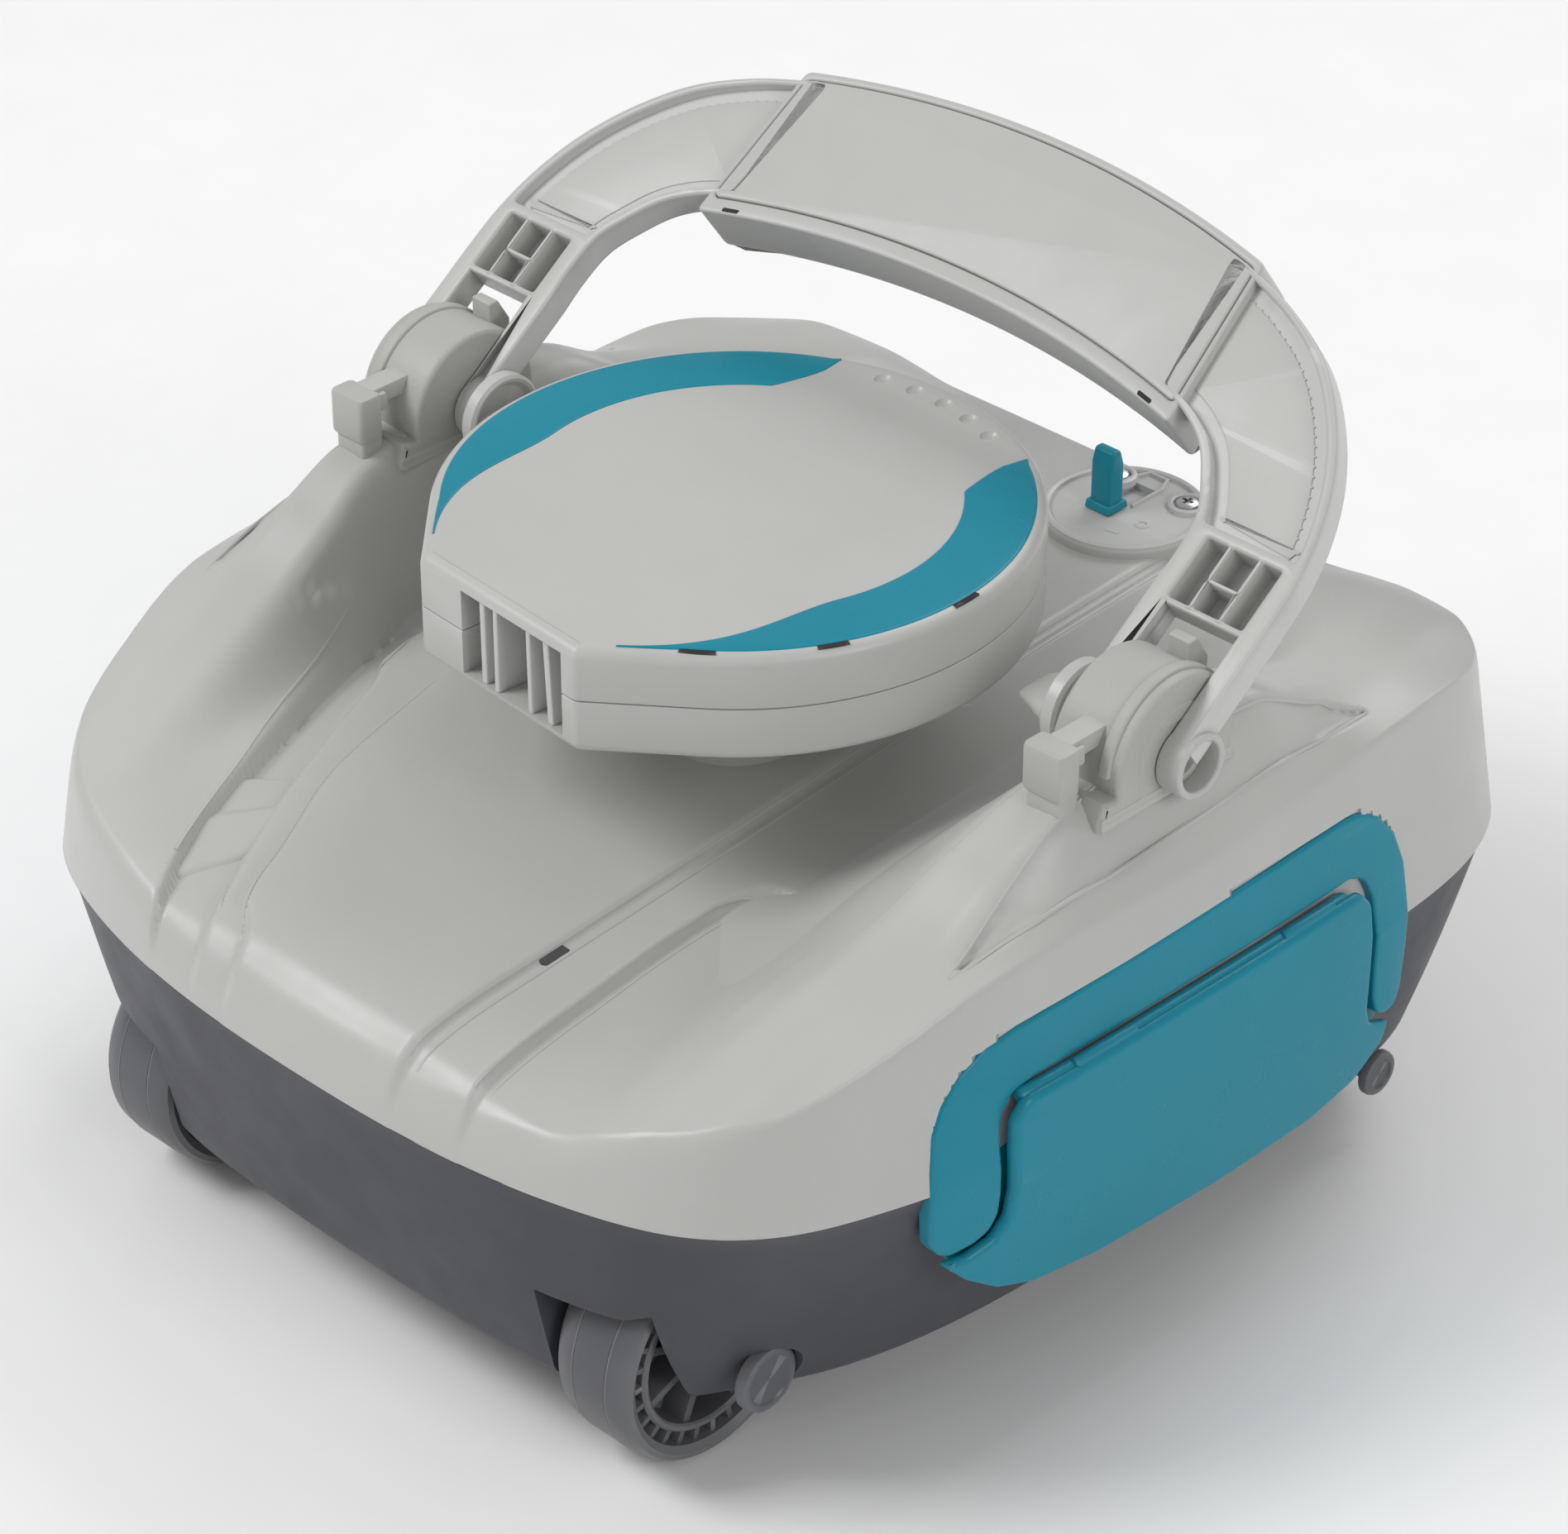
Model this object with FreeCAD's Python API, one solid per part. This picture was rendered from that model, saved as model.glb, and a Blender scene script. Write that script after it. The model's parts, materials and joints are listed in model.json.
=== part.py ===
"""Cordless jet-driven pool cleaner with a steerable outlet drum and a swinging float handle.

Units are millimetres. X is lateral, -Y is the front (large wheels, outlet), +Z is up.
The origin is on the ground, under the centre of the body. Each piece is one STEP file.
"""
import FreeCAD, Part
import math
import os

V = FreeCAD.Vector
X_AXIS = V(1, 0, 0)
Y_AXIS = V(0, 1, 0)
Z_AXIS = V(0, 0, 1)

# Body: plan outlines, right half from front to rear (x, y)
SEAM_PLAN = [(0, -172.4), (50, -170.4), (98, -161), (126, -148), (143, -128.5), (151, -110),
             (157.4, -89), (162.2, -40), (163.6, 20), (162.6, 92), (157, 128), (145, 150),
             (122, 165), (74, 171.4), (0, 172.4)]
FLOOR_PLAN = [(0, -155.5), (45, -154.5), (82, -150), (103, -140), (114, -124), (124, -106),
              (133, -80), (139, -40), (141, 20), (141, 88), (139, 116), (128, 138),
              (108, 150), (66, 156), (0, 157)]
SEAM_Z = 97.0
SEAM_GAP = 0.4
CREASE_Z = 150.0
CREASE_INSET = 8.0
TOP_Z = 190.0
TOP_INSET = 13.5
FLOOR_Z = 25.0
LEG_Z = 12.0
LEG_INSET = 3.5
TRAY_INSET = 1.0
PLAN_SIDES = 64
WALL = 3.0
HALF_LENGTH = 172.4
HALF_WIDTH = 163.6
CUT = 400.0

# Deck: side profile of the middle of the top housing (y, z)
DECK_PROFILE = [(-180, 104), (-168.6, 111), (-157.6, 121), (-116.5, 124.6), (-2.2, 132.5),
                (90, 139), (160, 141), (180, 128)]

# Side ridges: stations along Y, each with (x, z) of foot, inner top, outer top and crease
RIDGE_STATIONS = [
    (-175, (70, 106), (100, 109), (118, 109), (140, 106)),
    (-146, (74, 118), (106, 124), (122, 125), (140, 118)),
    (-73, (84, 126), (117, 151), (135, 153), (152, 149)),
    (-28, (98, 129), (122, 173), (139, 174), (153.5, 150)),
    (8, (100, 131), (122, 177), (140, 177), (154, 151)),
    (46, (98, 134), (122, 178), (140, 177), (154, 153)),
    (70, (92, 136), (119, 167), (138, 166), (153, 154)),
    (104, (80, 138), (112, 157), (134, 157), (150, 155)),
    (150, (72, 138), (100, 149), (126, 149), (142, 145)),
    (180, (70, 120), (98, 125), (122, 125), (140, 120)),
]

# Handle pivots
PIVOT_Y = 8.5
PIVOT_Z = 179.0
HANDLE_ANGLE = 35.8
CHEEK_IN = (114.2, 120.9)
CHEEK_OUT = (145.9, 152.3)
CHEEK_R = 9.4
BOSS_END_X = 154.0
PIN_R = 7.12
PIN_BORE_R = 7.2
PIN_HOLLOW_R = 5.0
PIN_X = (114.5, 148.0)
HUB_X = (121.2, 145.6)
HUB_R = 23.0
SEAT_Z = 170.0
GAP = 0.3

# Handle: rim crests of the right arm in the handle's plane (x, v), and its thickness (w)
ARM_OUTER = [(80, 128.6), (101, 121.5), (118.5, 112), (132, 99), (142.5, 83.5), (148.5, 68.5),
             (151.6, 53.5), (152.3, 38)]
ARM_INNER = [(114.2, 36), (114.6, 46.8), (113.2, 58.3), (108, 67.5), (100.8, 76.5), (92, 82.3),
             (80, 87)]
ARM_W = (-0.5, 9.4)
WEB_DEPTH = 3.6
RIM = 3.0
POCKET_TOP_V = 54.0
POCKET_OPEN_V = 33.0
POCKET_FLOOR = 1.6
GRIP_TOP = ((-85.5, 130), (0, 140.4), (85.5, 130))
GRIP_BOTTOM = ((89, 78), (0, 89), (-89, 78))
GRIP_W = (-13.0, 9.2)
GRIP_WALL = 3.0
PANEL_TOP = ((-83.6, 127.4), (0, 137.6), (83.6, 127.4))
PANEL_BOTTOM = ((86.6, 84), (0, 94.5), (-86.6, 84))
PANEL_W = (7.4, 9.4)
BAR_TOP = ((-95, 118), (0, 131), (95, 118))
BAR_BOTTOM = ((95, 90), (0, 99), (-95, 90))
BAR_W = (0.5, 6.0)

# Handle locks and clamp knobs
TAB_X = (126.2, 139.8)
TAB_Y = (-31.0, -22.0)
TAB_Z = (178.6, 193.0)
BAR_X = (129.0, 137.0)
LOCK_BAR_Z = (187.2, 193.0)
TONGUE_Y = (22.0, 30.0)
TONGUE_TOP_Z = 203.5
LOCK_TRAVEL = 6.0
KNOB_X = (108.6, 113.9)
KNOB_R = 13.2
WING_END_X = 96.0
WING_HALF = (11.0, 3.6)
STUB_R = 4.95
STUB_END_X = 128.0

# Outlet drum
DRUM_Y = -6.0
DRUM_YAW = -4.2
DRUM_R = 84.0
DRUM_Z = (172.0, 188.0, 204.0)
DRUM_WALL = 3.0
DRUM_EDGE_R = 3.5
NOZZLE_HALF = 32.0
NOZZLE_FRONT = 84.5
MOUTH_X = (-14.7, 26.9)
MOUTH_Z = (175.0, 200.6)
VANE_X = (-6.9, -1.3, 12.6, 20.5)
VANE_T = 1.7
VANE_DEPTH = 20.0
CRESCENT_R = 61.0
CRESCENT_TIP = 27.0
CRESCENT_END = 152.0
CRESCENT_RAMP = 48.0
CRESCENT_CLOSE = 12.0
CRESCENT_T = 2.4
CRESCENT_GAP = 0.15
DIMPLE_R = 76.0
DIMPLE_STEP = 8.3
DIMPLE_HOLE_R = 1.9
SPIGOT_R = (14.0, 16.92)
RING_R = (17.0, 21.0)
RING_Z = (114.0, 171.6)
RING_STEP_Z = 150.3
RING_HOOD = (32.4, 35.0, 121.0, 124.0)
RING_FLANGE = (41.0, 117.0)
RETAINER_R = 18.6
RETAINER_Z = (146.0, 149.9)
RING_LOWER_R = 19.0
DECK_HOLE_R = 21.4

# Switch
PAD_CENTRE = (13.0, 141.0)
PAD_R = 24.5
PAD_Z = (141.4, 143.2, 146.4)
PAD_NECK_R = (17.0, 19.6)
PAD_NECK_Z = 134.5
LEVER_X = (4.2, 12.2)
LEVER_Y = (135.0, 141.0)
LEVER_Z = (139.2, 163.5)
LEVER_TRAVEL = 12.0
LEVER_FOOT_Z = 142.8
LEVER_FOOT_SPREAD = (1.2, 1.0)
SLOT_END = 1.5

# Teal flank frames and latch flaps: right-hand outlines (y, z)
FRAME_OUTLINE = [(-94.4, 78), (-96.5, 121), (-93, 133), (-84.5, 139.4), (-75, 142.2), (64.7, 137),
                 (77.4, 132.4), (85, 123), (87, 110), (87.7, 68), (69, 52.7), (7.4, 51.2),
                 (-39.5, 53.7), (-69, 58.6), (-83.4, 66)]
FRAME_X = (157.6, 161.0, 165.2)
FLAP_OUTLINE = [(-71, 119.6), (62.2, 119.6), (64.5, 114.5), (71, 77.5), (81.4, 67.6), (69, 52.9),
                (7.4, 51.4), (-39.5, 53.9), (-69, 58.8), (-83.2, 66.2), (-93.6, 78), (-78, 84),
                (-74.5, 90), (-74.5, 112)]
FLAP_X = (162.9, 167.0)
HINGE_X = 164.0
HINGE_Z = 121.0
HINGE_R = 2.6
HINGE_BORE_R = 1.3
HINGE_PIN_R = 1.25
HINGE_Y = (-71.0, 62.2)
HINGE_PIN_Y = (-75.0, 66.0)
HINGE_SWEEP_R = 4.4

# Wheels and axles: centre x, centre y, radius, half width
FRONT_WHEEL = (92.4, -121.0, 35.0, 13.5)
REAR_WHEEL = (112.0, 112.0, 20.0, 9.0)
FRONT_AXLE = (73.0, 121.2, 125.0, 5.0, 10.0)
REAR_AXLE = (97.0, 139.0, 142.0, 3.5, 7.0)
AXLE_CLEARANCE = 0.06
WELL_SIDE = 3.0
WELL_OVER = 4.0
WELL_WALL = 2.5

# Suction mouth, filter and inlet flap
PLATE_HALF_X = 92.0
PLATE_Y = (-68.0, 72.0)
PLATE_Z = (19.0, 24.7)
MOUTH_BOX = (-62.0, 62.0, -22.0, 6.0)
FLAP_HINGE = (-27.0, 31.6)
INLET_FLAP_T = 1.6
CAGE_X = 104.0
CAGE_Y = (-62.0, 76.0)
CAGE_Z = (28.4, 66.0)
CAGE_BAR = 4.0
SCREEN_T = 0.8

# Pump and electrics
IMPELLER_Z = (106.5, 117.5)
IMPELLER_R = 26.0
DUCT_R = (28.0, 31.0)
DUCT_Z = (104.0, 118.5)
MOTOR_R = 17.0
MOTOR_Z = (70.5, 96.0)
CAN_R = (18.0, 21.0)
CAN_Z = (68.0, 101.0)
SHAFT_R = 2.0
SEAL_R = 6.0
BATTERY = (-62.0, 62.0, 84.0, 136.0, 58.0, 92.0)
BOARD = (-34.0, 34.0, 92.0, 130.0, 112.0, 113.6)


def box(x0, x1, y0, y1, z0, z1):
    """Box between two corners."""
    return Part.makeBox(x1 - x0, y1 - y0, z1 - z0, V(x0, y0, z0))


def cyl_x(x0, x1, y, z, r):
    """Cylinder along X."""
    return Part.makeCylinder(r, x1 - x0, V(x0, y, z), X_AXIS)


def cyl_y(y0, y1, x, z, r):
    """Cylinder along Y."""
    return Part.makeCylinder(r, y1 - y0, V(x, y0, z), Y_AXIS)


def cyl_z(z0, z1, x, y, r):
    """Cylinder along Z."""
    return Part.makeCylinder(r, z1 - z0, V(x, y, z0), Z_AXIS)


def prism_x(points, x0, x1):
    """Polygon of (y, z) points extruded along X."""
    wire = Part.makePolygon([V(x0, y, z) for y, z in points + points[:1]])
    return Part.Face(wire).extrude(V(x1 - x0, 0, 0))


def prism_z(points, z0, z1):
    """Polygon of (x, y) points extruded along Z."""
    wire = Part.makePolygon([V(x, y, z0) for x, y in points + points[:1]])
    return Part.Face(wire).extrude(V(0, 0, z1 - z0))


def mirrored(shape):
    """The left-hand twin of a right-hand shape."""
    return shape.mirror(V(0, 0, 0), X_AXIS)


def both_sides(shape):
    """A right-hand shape together with its left-hand twin."""
    return Part.makeCompound([shape, mirrored(shape)])


def fused(shapes):
    """One solid from overlapping shapes."""
    return shapes[0].multiFuse(shapes[1:]).removeSplitter()


def grown(points, amount):
    """A (y, z) polygon scaled about its middle so that it grows by about amount."""
    ys = [p[0] for p in points]
    zs = [p[1] for p in points]
    my = (min(ys) + max(ys)) / 2
    mz = (min(zs) + max(zs)) / 2
    ky = 1 + 2 * amount / (max(ys) - min(ys))
    kz = 1 + 2 * amount / (max(zs) - min(zs))
    return [(my + (y - my) * ky, mz + (z - mz) * kz) for y, z in points]


def write(name, shape):
    """Writes one piece to its STEP file."""
    shape.exportStep(f"parts/{name}.step")


# ---------------------------------------------------------------- body housings

def stacked(sections):
    """Closed solid through sections of equally many points, with flat triangular faces."""
    faces = [Part.Face(Part.makePolygon(section + section[:1])) for section in (sections[0], sections[-1])]
    for low, high in zip(sections, sections[1:]):
        count = len(low)
        for i in range(count):
            j = (i + 1) % count
            for corners in ((low[i], low[j], high[j]), (low[i], high[j], high[i])):
                if corners[0] != corners[1] and corners[1] != corners[2] and corners[2] != corners[0]:
                    faces.append(Part.Face(Part.makePolygon([*corners, corners[0]])))
    shell = Part.Shell(faces)
    solid = Part.Solid(shell)
    if solid.Volume < 0:
        solid.reverse()
    return solid


def plan_section(plan, z, inset):
    """Points round the body's outline at height z, drawn in from a plan by inset."""
    kx = 1 - inset / HALF_WIDTH
    ky = 1 - inset / HALF_LENGTH
    right = [V(x, y, 0) for x, y in plan]
    left = [V(-p.x, p.y, 0) for p in right[-2:0:-1]]
    curve = Part.BSplineCurve()
    curve.interpolate(right + left, PeriodicFlag=True)
    points = curve.discretize(Number=PLAN_SIDES + 1)[:-1]
    return [V(p.x * kx, p.y * ky, z) for p in points]


def side_walls(inset, z_low):
    """Solid within the drafted walls of the top housing."""
    return stacked([plan_section(SEAM_PLAN, z_low, inset),
                    plan_section(SEAM_PLAN, CREASE_Z, inset + CREASE_INSET),
                    plan_section(SEAM_PLAN, TOP_Z, inset + TOP_INSET)])


def ridge(inset, z_low):
    """Right-hand shoulder and ridge, from front to rear, drawn in by inset."""
    sections = []
    for y, foot, inner, outer, crease in RIDGE_STATIONS:
        points = [(foot[0] + inset, z_low), (foot[0] + inset, foot[1] - inset),
                  (inner[0] + inset / 2, inner[1] - inset), (outer[0] - inset / 2, outer[1] - inset),
                  (crease[0] - inset / 2, crease[1] - inset),
                  (HALF_WIDTH + WALL, crease[1] - WALL - inset), (HALF_WIDTH + WALL, z_low)]
        sections.append([V(x, y, z) for x, z in points])
    return stacked(sections)


def top_form(inset, z_low):
    """Whole form of the top housing, drawn in by inset, down to z_low."""
    deck = [(y, z - inset) for y, z in DECK_PROFILE]
    profile = [(deck[0][0], z_low)] + deck + [(deck[-1][0], z_low)]
    middle = prism_x(profile, -HALF_WIDTH, HALF_WIDTH)
    side = ridge(inset, z_low)
    whole = middle.multiFuse([side, mirrored(side)])
    return whole.common(side_walls(inset, z_low))


def frame_recess(grow, depth):
    """Space that the right flank frame is let into, grown all round and deepened."""
    return prism_x(grown(FRAME_OUTLINE, grow), FRAME_X[0] - depth, HALF_WIDTH + CUT)


def hub_recesses(grow):
    """Spaces in the right ridge for the hub, the cheeks and the clamp knob."""
    seat = box(HUB_X[0] - GAP - grow, HUB_X[1] + GAP + grow, TAB_Y[0] - 1 - LOCK_TRAVEL - grow,
               PIVOT_Y + HUB_R + 2 + grow, SEAT_Z - grow, TOP_Z)
    cheeks = cyl_x(KNOB_X[0] - 12 - grow, BOSS_END_X + 20, PIVOT_Y, PIVOT_Z, CHEEK_R + 2 + grow)
    knob = cyl_x(WING_END_X - 1 - grow, CHEEK_IN[0] + 1 + grow, PIVOT_Y, PIVOT_Z, KNOB_R + 1.5 + grow)
    return [seat, cheeks, knob]


def upper_shell():
    """Light top housing: one skin with deck, shoulders, ridges and recesses."""
    z_low = SEAM_Z + SEAM_GAP
    outer = top_form(0, z_low)
    inner = top_form(WALL, z_low - WALL)
    cuts = hub_recesses(0) + [frame_recess(GAP, 0)]
    keeps = hub_recesses(WALL) + [frame_recess(GAP + WALL, WALL)]
    outer = outer.cut(cuts + [mirrored(c) for c in cuts])
    inner = inner.cut(keeps + [mirrored(k) for k in keeps])
    skin = outer.cut(inner)
    holes = [cyl_z(SEAM_Z, TOP_Z, 0, DRUM_Y, DECK_HOLE_R),
             cyl_z(SEAM_Z, TOP_Z, *PAD_CENTRE, PAD_NECK_R[1] + GAP)]
    return skin.cut(holes)


def legs(z_top):
    """Right-hand corner legs below the floor, before the wheel wells are cut."""
    stub = stacked([plan_section(FLOOR_PLAN, LEG_Z, LEG_INSET), plan_section(FLOOR_PLAN, z_top, 0)])
    front = box(108, 140, -137, -62, LEG_Z - 1, z_top)
    rear = box(122, 150, 92, 140, LEG_Z - 1, z_top)
    return [stub.common(front), stub.common(rear)]


def wheel_well(wheel, grow, open_front):
    """Space round a right-hand wheel, open below and, for a front wheel, ahead."""
    x, y, r, half = wheel
    x0 = x - half - WELL_SIDE - grow
    x1 = x + half + WELL_SIDE + grow
    reach = r + WELL_OVER + grow
    parts = [cyl_x(x0, x1, y, r, reach), box(x0, x1, y - reach, y + reach, -1, r)]
    if open_front:
        parts.append(box(x0, x1, y - CUT, y, -1, r + reach * 0.62))
    return fused(parts)


def axle_holes(axle, wheel):
    """Bore for an axle and counterbore for its cap, on the right."""
    x0, cap, end, r, cap_r = axle
    y = wheel[1]
    z = wheel[2]
    return [cyl_x(x0 - 1, end, y, z, r + AXLE_CLEARANCE), cyl_x(cap - GAP, end + CUT, y, z, cap_r + GAP)]


def base_tray():
    """Dark lower housing with wheel wells, legs, floor and suction opening."""
    top = SEAM_Z - SEAM_GAP
    outer = stacked([plan_section(FLOOR_PLAN, FLOOR_Z, 0), plan_section(SEAM_PLAN, top, TRAY_INSET)])
    inner = stacked([plan_section(FLOOR_PLAN, FLOOR_Z + WALL, WALL),
                     plan_section(SEAM_PLAN, top, TRAY_INSET + WALL)])
    feet = legs(FLOOR_Z)
    outer = outer.multiFuse(feet + [mirrored(f) for f in feet])
    wells = [wheel_well(FRONT_WHEEL, 0, True), wheel_well(REAR_WHEEL, 0, False)]
    cuts = wells + [frame_recess(GAP, 0)]
    cuts += axle_holes(FRONT_AXLE, FRONT_WHEEL) + axle_holes(REAR_AXLE, REAR_WHEEL)
    keeps = [wheel_well(FRONT_WHEEL, WELL_WALL, True), wheel_well(REAR_WHEEL, WELL_WALL, False),
             frame_recess(GAP + WALL, WALL),
             cyl_x(FRONT_AXLE[0], FRONT_AXLE[2], FRONT_WHEEL[1], FRONT_WHEEL[2], FRONT_AXLE[4] + 3),
             cyl_x(REAR_AXLE[0], REAR_AXLE[2], REAR_WHEEL[1], REAR_WHEEL[2], REAR_AXLE[4] + 3)]
    inner = inner.cut(keeps + [mirrored(k) for k in keeps])
    tray = outer.cut(inner)
    x0, x1, y0, y1 = MOUTH_BOX
    mouth = box(x0, x1, y0, y1, FLOOR_Z - 1, FLOOR_Z + WALL + 1)
    screws = [cyl_z(FLOOR_Z - 1, FLOOR_Z + WALL + 1, x, y, 1.6) for x, y in plate_screw_places()]
    return tray.cut(cuts + [mirrored(c) for c in cuts] + [mouth] + screws)


# ---------------------------------------------------------------- underside and filter

def plate_screw_places():
    """Centres of the screws of the suction plate."""
    x = PLATE_HALF_X - 8
    return [(sx * x, y) for sx in (-1, 1) for y in (PLATE_Y[0] + 8, PLATE_Y[1] - 8)]


def suction_plate():
    """Flat plate under the floor with the suction mouth and its guard bars."""
    plate = box(-PLATE_HALF_X, PLATE_HALF_X, *PLATE_Y, *PLATE_Z)
    plate = plate.makeFillet(10, [e for e in plate.Edges if abs(e.tangentAt(e.FirstParameter).z) > 0.9])
    x0, x1, y0, y1 = MOUTH_BOX
    plate = plate.cut(box(x0, x1, y0, y1, 0, FLOOR_Z))
    holes = []
    for x, y in plate_screw_places():
        holes.append(cyl_z(0, FLOOR_Z, x, y, 1.6))
        holes.append(cyl_z(0, PLATE_Z[0] + 2.4, x, y, 3.6))
    return plate.cut(holes)


def base_screws():
    """Screws of the suction plate, one group."""
    screws = []
    for x, y in plate_screw_places():
        head = cyl_z(PLATE_Z[0] + 0.4, PLATE_Z[0] + 2.4, x, y, 3.2)
        shank = cyl_z(PLATE_Z[0] + 2.4, FLOOR_Z + WALL, x, y, 1.5)
        slot = box(x - 2, x + 2, y - 0.4, y + 0.4, 0, PLATE_Z[0] + 1.2)
        screws.append(head.fuse(shank).cut(slot).removeSplitter())
    return Part.makeCompound(screws)


def inlet_flap():
    """Flap over the suction mouth that lets dirt in and holds it."""
    y, z = FLAP_HINGE
    x0, x1, _, y1 = MOUTH_BOX
    barrel = cyl_x(x0, x1, y, z, 2.4)
    blade = box(x0 - 2, x1 + 2, y, y1 + 3, z - 2.4, z - 2.4 + INLET_FLAP_T)
    return fused([barrel, blade]).cut(cyl_x(x0 - 5, x1 + 5, y, z, 1.3))


def inlet_hinge():
    """Rod and two ears that carry the inlet flap."""
    y, z = FLAP_HINGE
    x1 = MOUTH_BOX[1]
    ear = box(x1 + 2.6, x1 + 6, y - 3, y + 3, FLOOR_Z + WALL, z + 3)
    rod = cyl_x(-x1 - 5, x1 + 5, y, z, 1.25)
    return fused([ear, mirrored(ear), rod])


def filter_frame():
    """Open cage over the mouth that carries the mesh."""
    outer = box(-CAGE_X, CAGE_X, *CAGE_Y, *CAGE_Z)
    b = CAGE_BAR
    y0, y1 = CAGE_Y
    z0, z1 = CAGE_Z
    cuts = [box(-CAGE_X + b, CAGE_X - b, y0 + b, y1 - b, z0 - 1, z1 - b)]
    bays = 4
    pitch = (2 * CAGE_X - b) / bays
    for i in range(bays):
        x = -CAGE_X + b + i * pitch
        cuts.append(box(x, x + pitch - b, y0 + b, y1 - b, z0, z1 + 1))
        cuts.append(box(x, x + pitch - b, y0 - 1, y1 + 1, z0 + b, z1 - 2 * b))
    cuts.append(box(-CAGE_X - 1, CAGE_X + 1, y0 + b, y1 - b, z0 + b, z1 - 2 * b))
    return outer.cut(cuts)


def filter_screen():
    """Mesh box inside the cage, open below."""
    b = CAGE_BAR + 0.05
    y0, y1 = CAGE_Y
    z0, z1 = CAGE_Z
    outer = box(-CAGE_X + b, CAGE_X - b, y0 + b, y1 - b, z0, z1 - b)
    t = SCREEN_T
    inner = box(-CAGE_X + b + t, CAGE_X - b - t, y0 + b + t, y1 - b - t, z0 - 1, z1 - b - t)
    return outer.cut(inner)


# ---------------------------------------------------------------- flank frames and latches

def flap_blade():
    """Outer leaf of the right latch flap with its lower lip."""
    leaf = prism_x(FLAP_OUTLINE, *FLAP_X)
    barrel = cyl_y(*HINGE_Y, HINGE_X, HINGE_Z, HINGE_R)
    neck = box(HINGE_X - HINGE_R + 0.6, FLAP_X[1] - 0.6, *HINGE_Y, HINGE_Z - 4, HINGE_Z)
    return fused([leaf, barrel, neck])


def side_frame():
    """Right flank frame with the seat for its latch flap."""
    body = prism_x(FRAME_OUTLINE, FRAME_X[0], FRAME_X[2])
    seat = prism_x(grown(FLAP_OUTLINE, 0.9), FRAME_X[1], HALF_WIDTH + CUT)
    sweep = cyl_y(HINGE_Y[0] - GAP, HINGE_Y[1] + GAP, HINGE_X, HINGE_Z, HINGE_SWEEP_R)
    edge = box(FRAME_X[1], HALF_WIDTH + CUT, -100, 100, 50, 66)
    rod = cyl_y(*HINGE_PIN_Y, HINGE_X, HINGE_Z, HINGE_PIN_R)
    ears = []
    for y0, y1 in ((HINGE_PIN_Y[0] - 1, HINGE_Y[0] - GAP), (HINGE_Y[1] + GAP, HINGE_PIN_Y[1] + 1)):
        ears.append(box(FRAME_X[1] - 1, FRAME_X[2], y0, y1, HINGE_Z - 3.4, HINGE_Z + 3.4))
    return body.multiFuse(ears).cut([seat, edge, sweep, rod]).removeSplitter()


def latch_pins():
    """Steel hinge rods of both latch flaps."""
    return both_sides(cyl_y(*HINGE_PIN_Y, HINGE_X, HINGE_Z, HINGE_PIN_R))


def side_latch():
    """Right latch flap with its bored hinge barrel."""
    bore = cyl_y(HINGE_Y[0] - 1, HINGE_Y[1] + 1, HINGE_X, HINGE_Z, HINGE_BORE_R)
    return flap_blade().cut(bore)


# ---------------------------------------------------------------- handle

def spline_edge(points, z):
    """Smooth edge through (x, y) points at height z."""
    curve = Part.BSplineCurve()
    curve.interpolate([V(x, y, z) for x, y in points])
    return curve.toShape()


def line_edge(a, b, z):
    """Straight edge between two (x, y) points at height z."""
    return Part.LineSegment(V(a[0], a[1], z), V(b[0], b[1], z)).toShape()


def arc_edge(points, z):
    """Arc through three (x, y) points at height z."""
    return Part.Arc(*[V(x, y, z) for x, y in points]).toShape()


def band(top, bottom, w):
    """Curved band between two arcs in the handle's plane."""
    edges = [arc_edge(top, w[0]), line_edge(top[2], bottom[0], w[0]), arc_edge(bottom, w[0]),
             line_edge(bottom[2], top[0], w[0])]
    return Part.Face(Part.Wire(edges)).extrude(V(0, 0, w[1] - w[0]))


def shrunk(points, dx, dy):
    """Three arc points moved in by dx at the ends and by dy all along."""
    return tuple((x - dx * (x > 0) + dx * (x < 0), y + dy) for x, y in points)


def arm(inset, w):
    """Right arm in the handle's plane, drawn in by inset."""
    outer = [(x - inset, y - inset * 0.4) for x, y in ARM_OUTER]
    inner = [(x + inset, y + inset * 0.4) for x, y in ARM_INNER]
    low_out = (outer[-1][0], 0)
    low_in = (inner[0][0], 0)
    edges = [spline_edge(outer, w[0]), line_edge(outer[-1], low_out, w[0]),
             line_edge(low_out, low_in, w[0]), line_edge(low_in, inner[0], w[0]),
             spline_edge(inner, w[0]), line_edge(inner[-1], outer[0], w[0])]
    return Part.Face(Part.Wire(edges)).extrude(V(0, 0, w[1] - w[0]))


def arm_pocket():
    """Cuts that open the right arm's pocket: open fork below, ribbed cells above."""
    x0, x1 = CHEEK_IN[1], CHEEK_OUT[0]
    w0, w1 = ARM_W
    floor = w0 + POCKET_FLOOR
    fork = box(x0, x1, -CHEEK_R - 5, POCKET_OPEN_V, w0 - 20, w1 + 20)
    split = (x0 + 8.4, x0 + 18.6)
    rib = 1.4
    rib_v = 44.0
    cells = [box(x0, split[0] - rib, POCKET_OPEN_V + 2, POCKET_TOP_V, floor, w1 + 1),
             box(split[0], split[1] - rib, POCKET_OPEN_V + 2, rib_v - rib, floor, w1 + 1),
             box(split[0], split[1] - rib, rib_v, POCKET_TOP_V, floor, w1 + 1),
             box(split[1], x1, POCKET_OPEN_V + 2, POCKET_TOP_V, floor, w1 + 1)]
    return [fork] + cells


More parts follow.
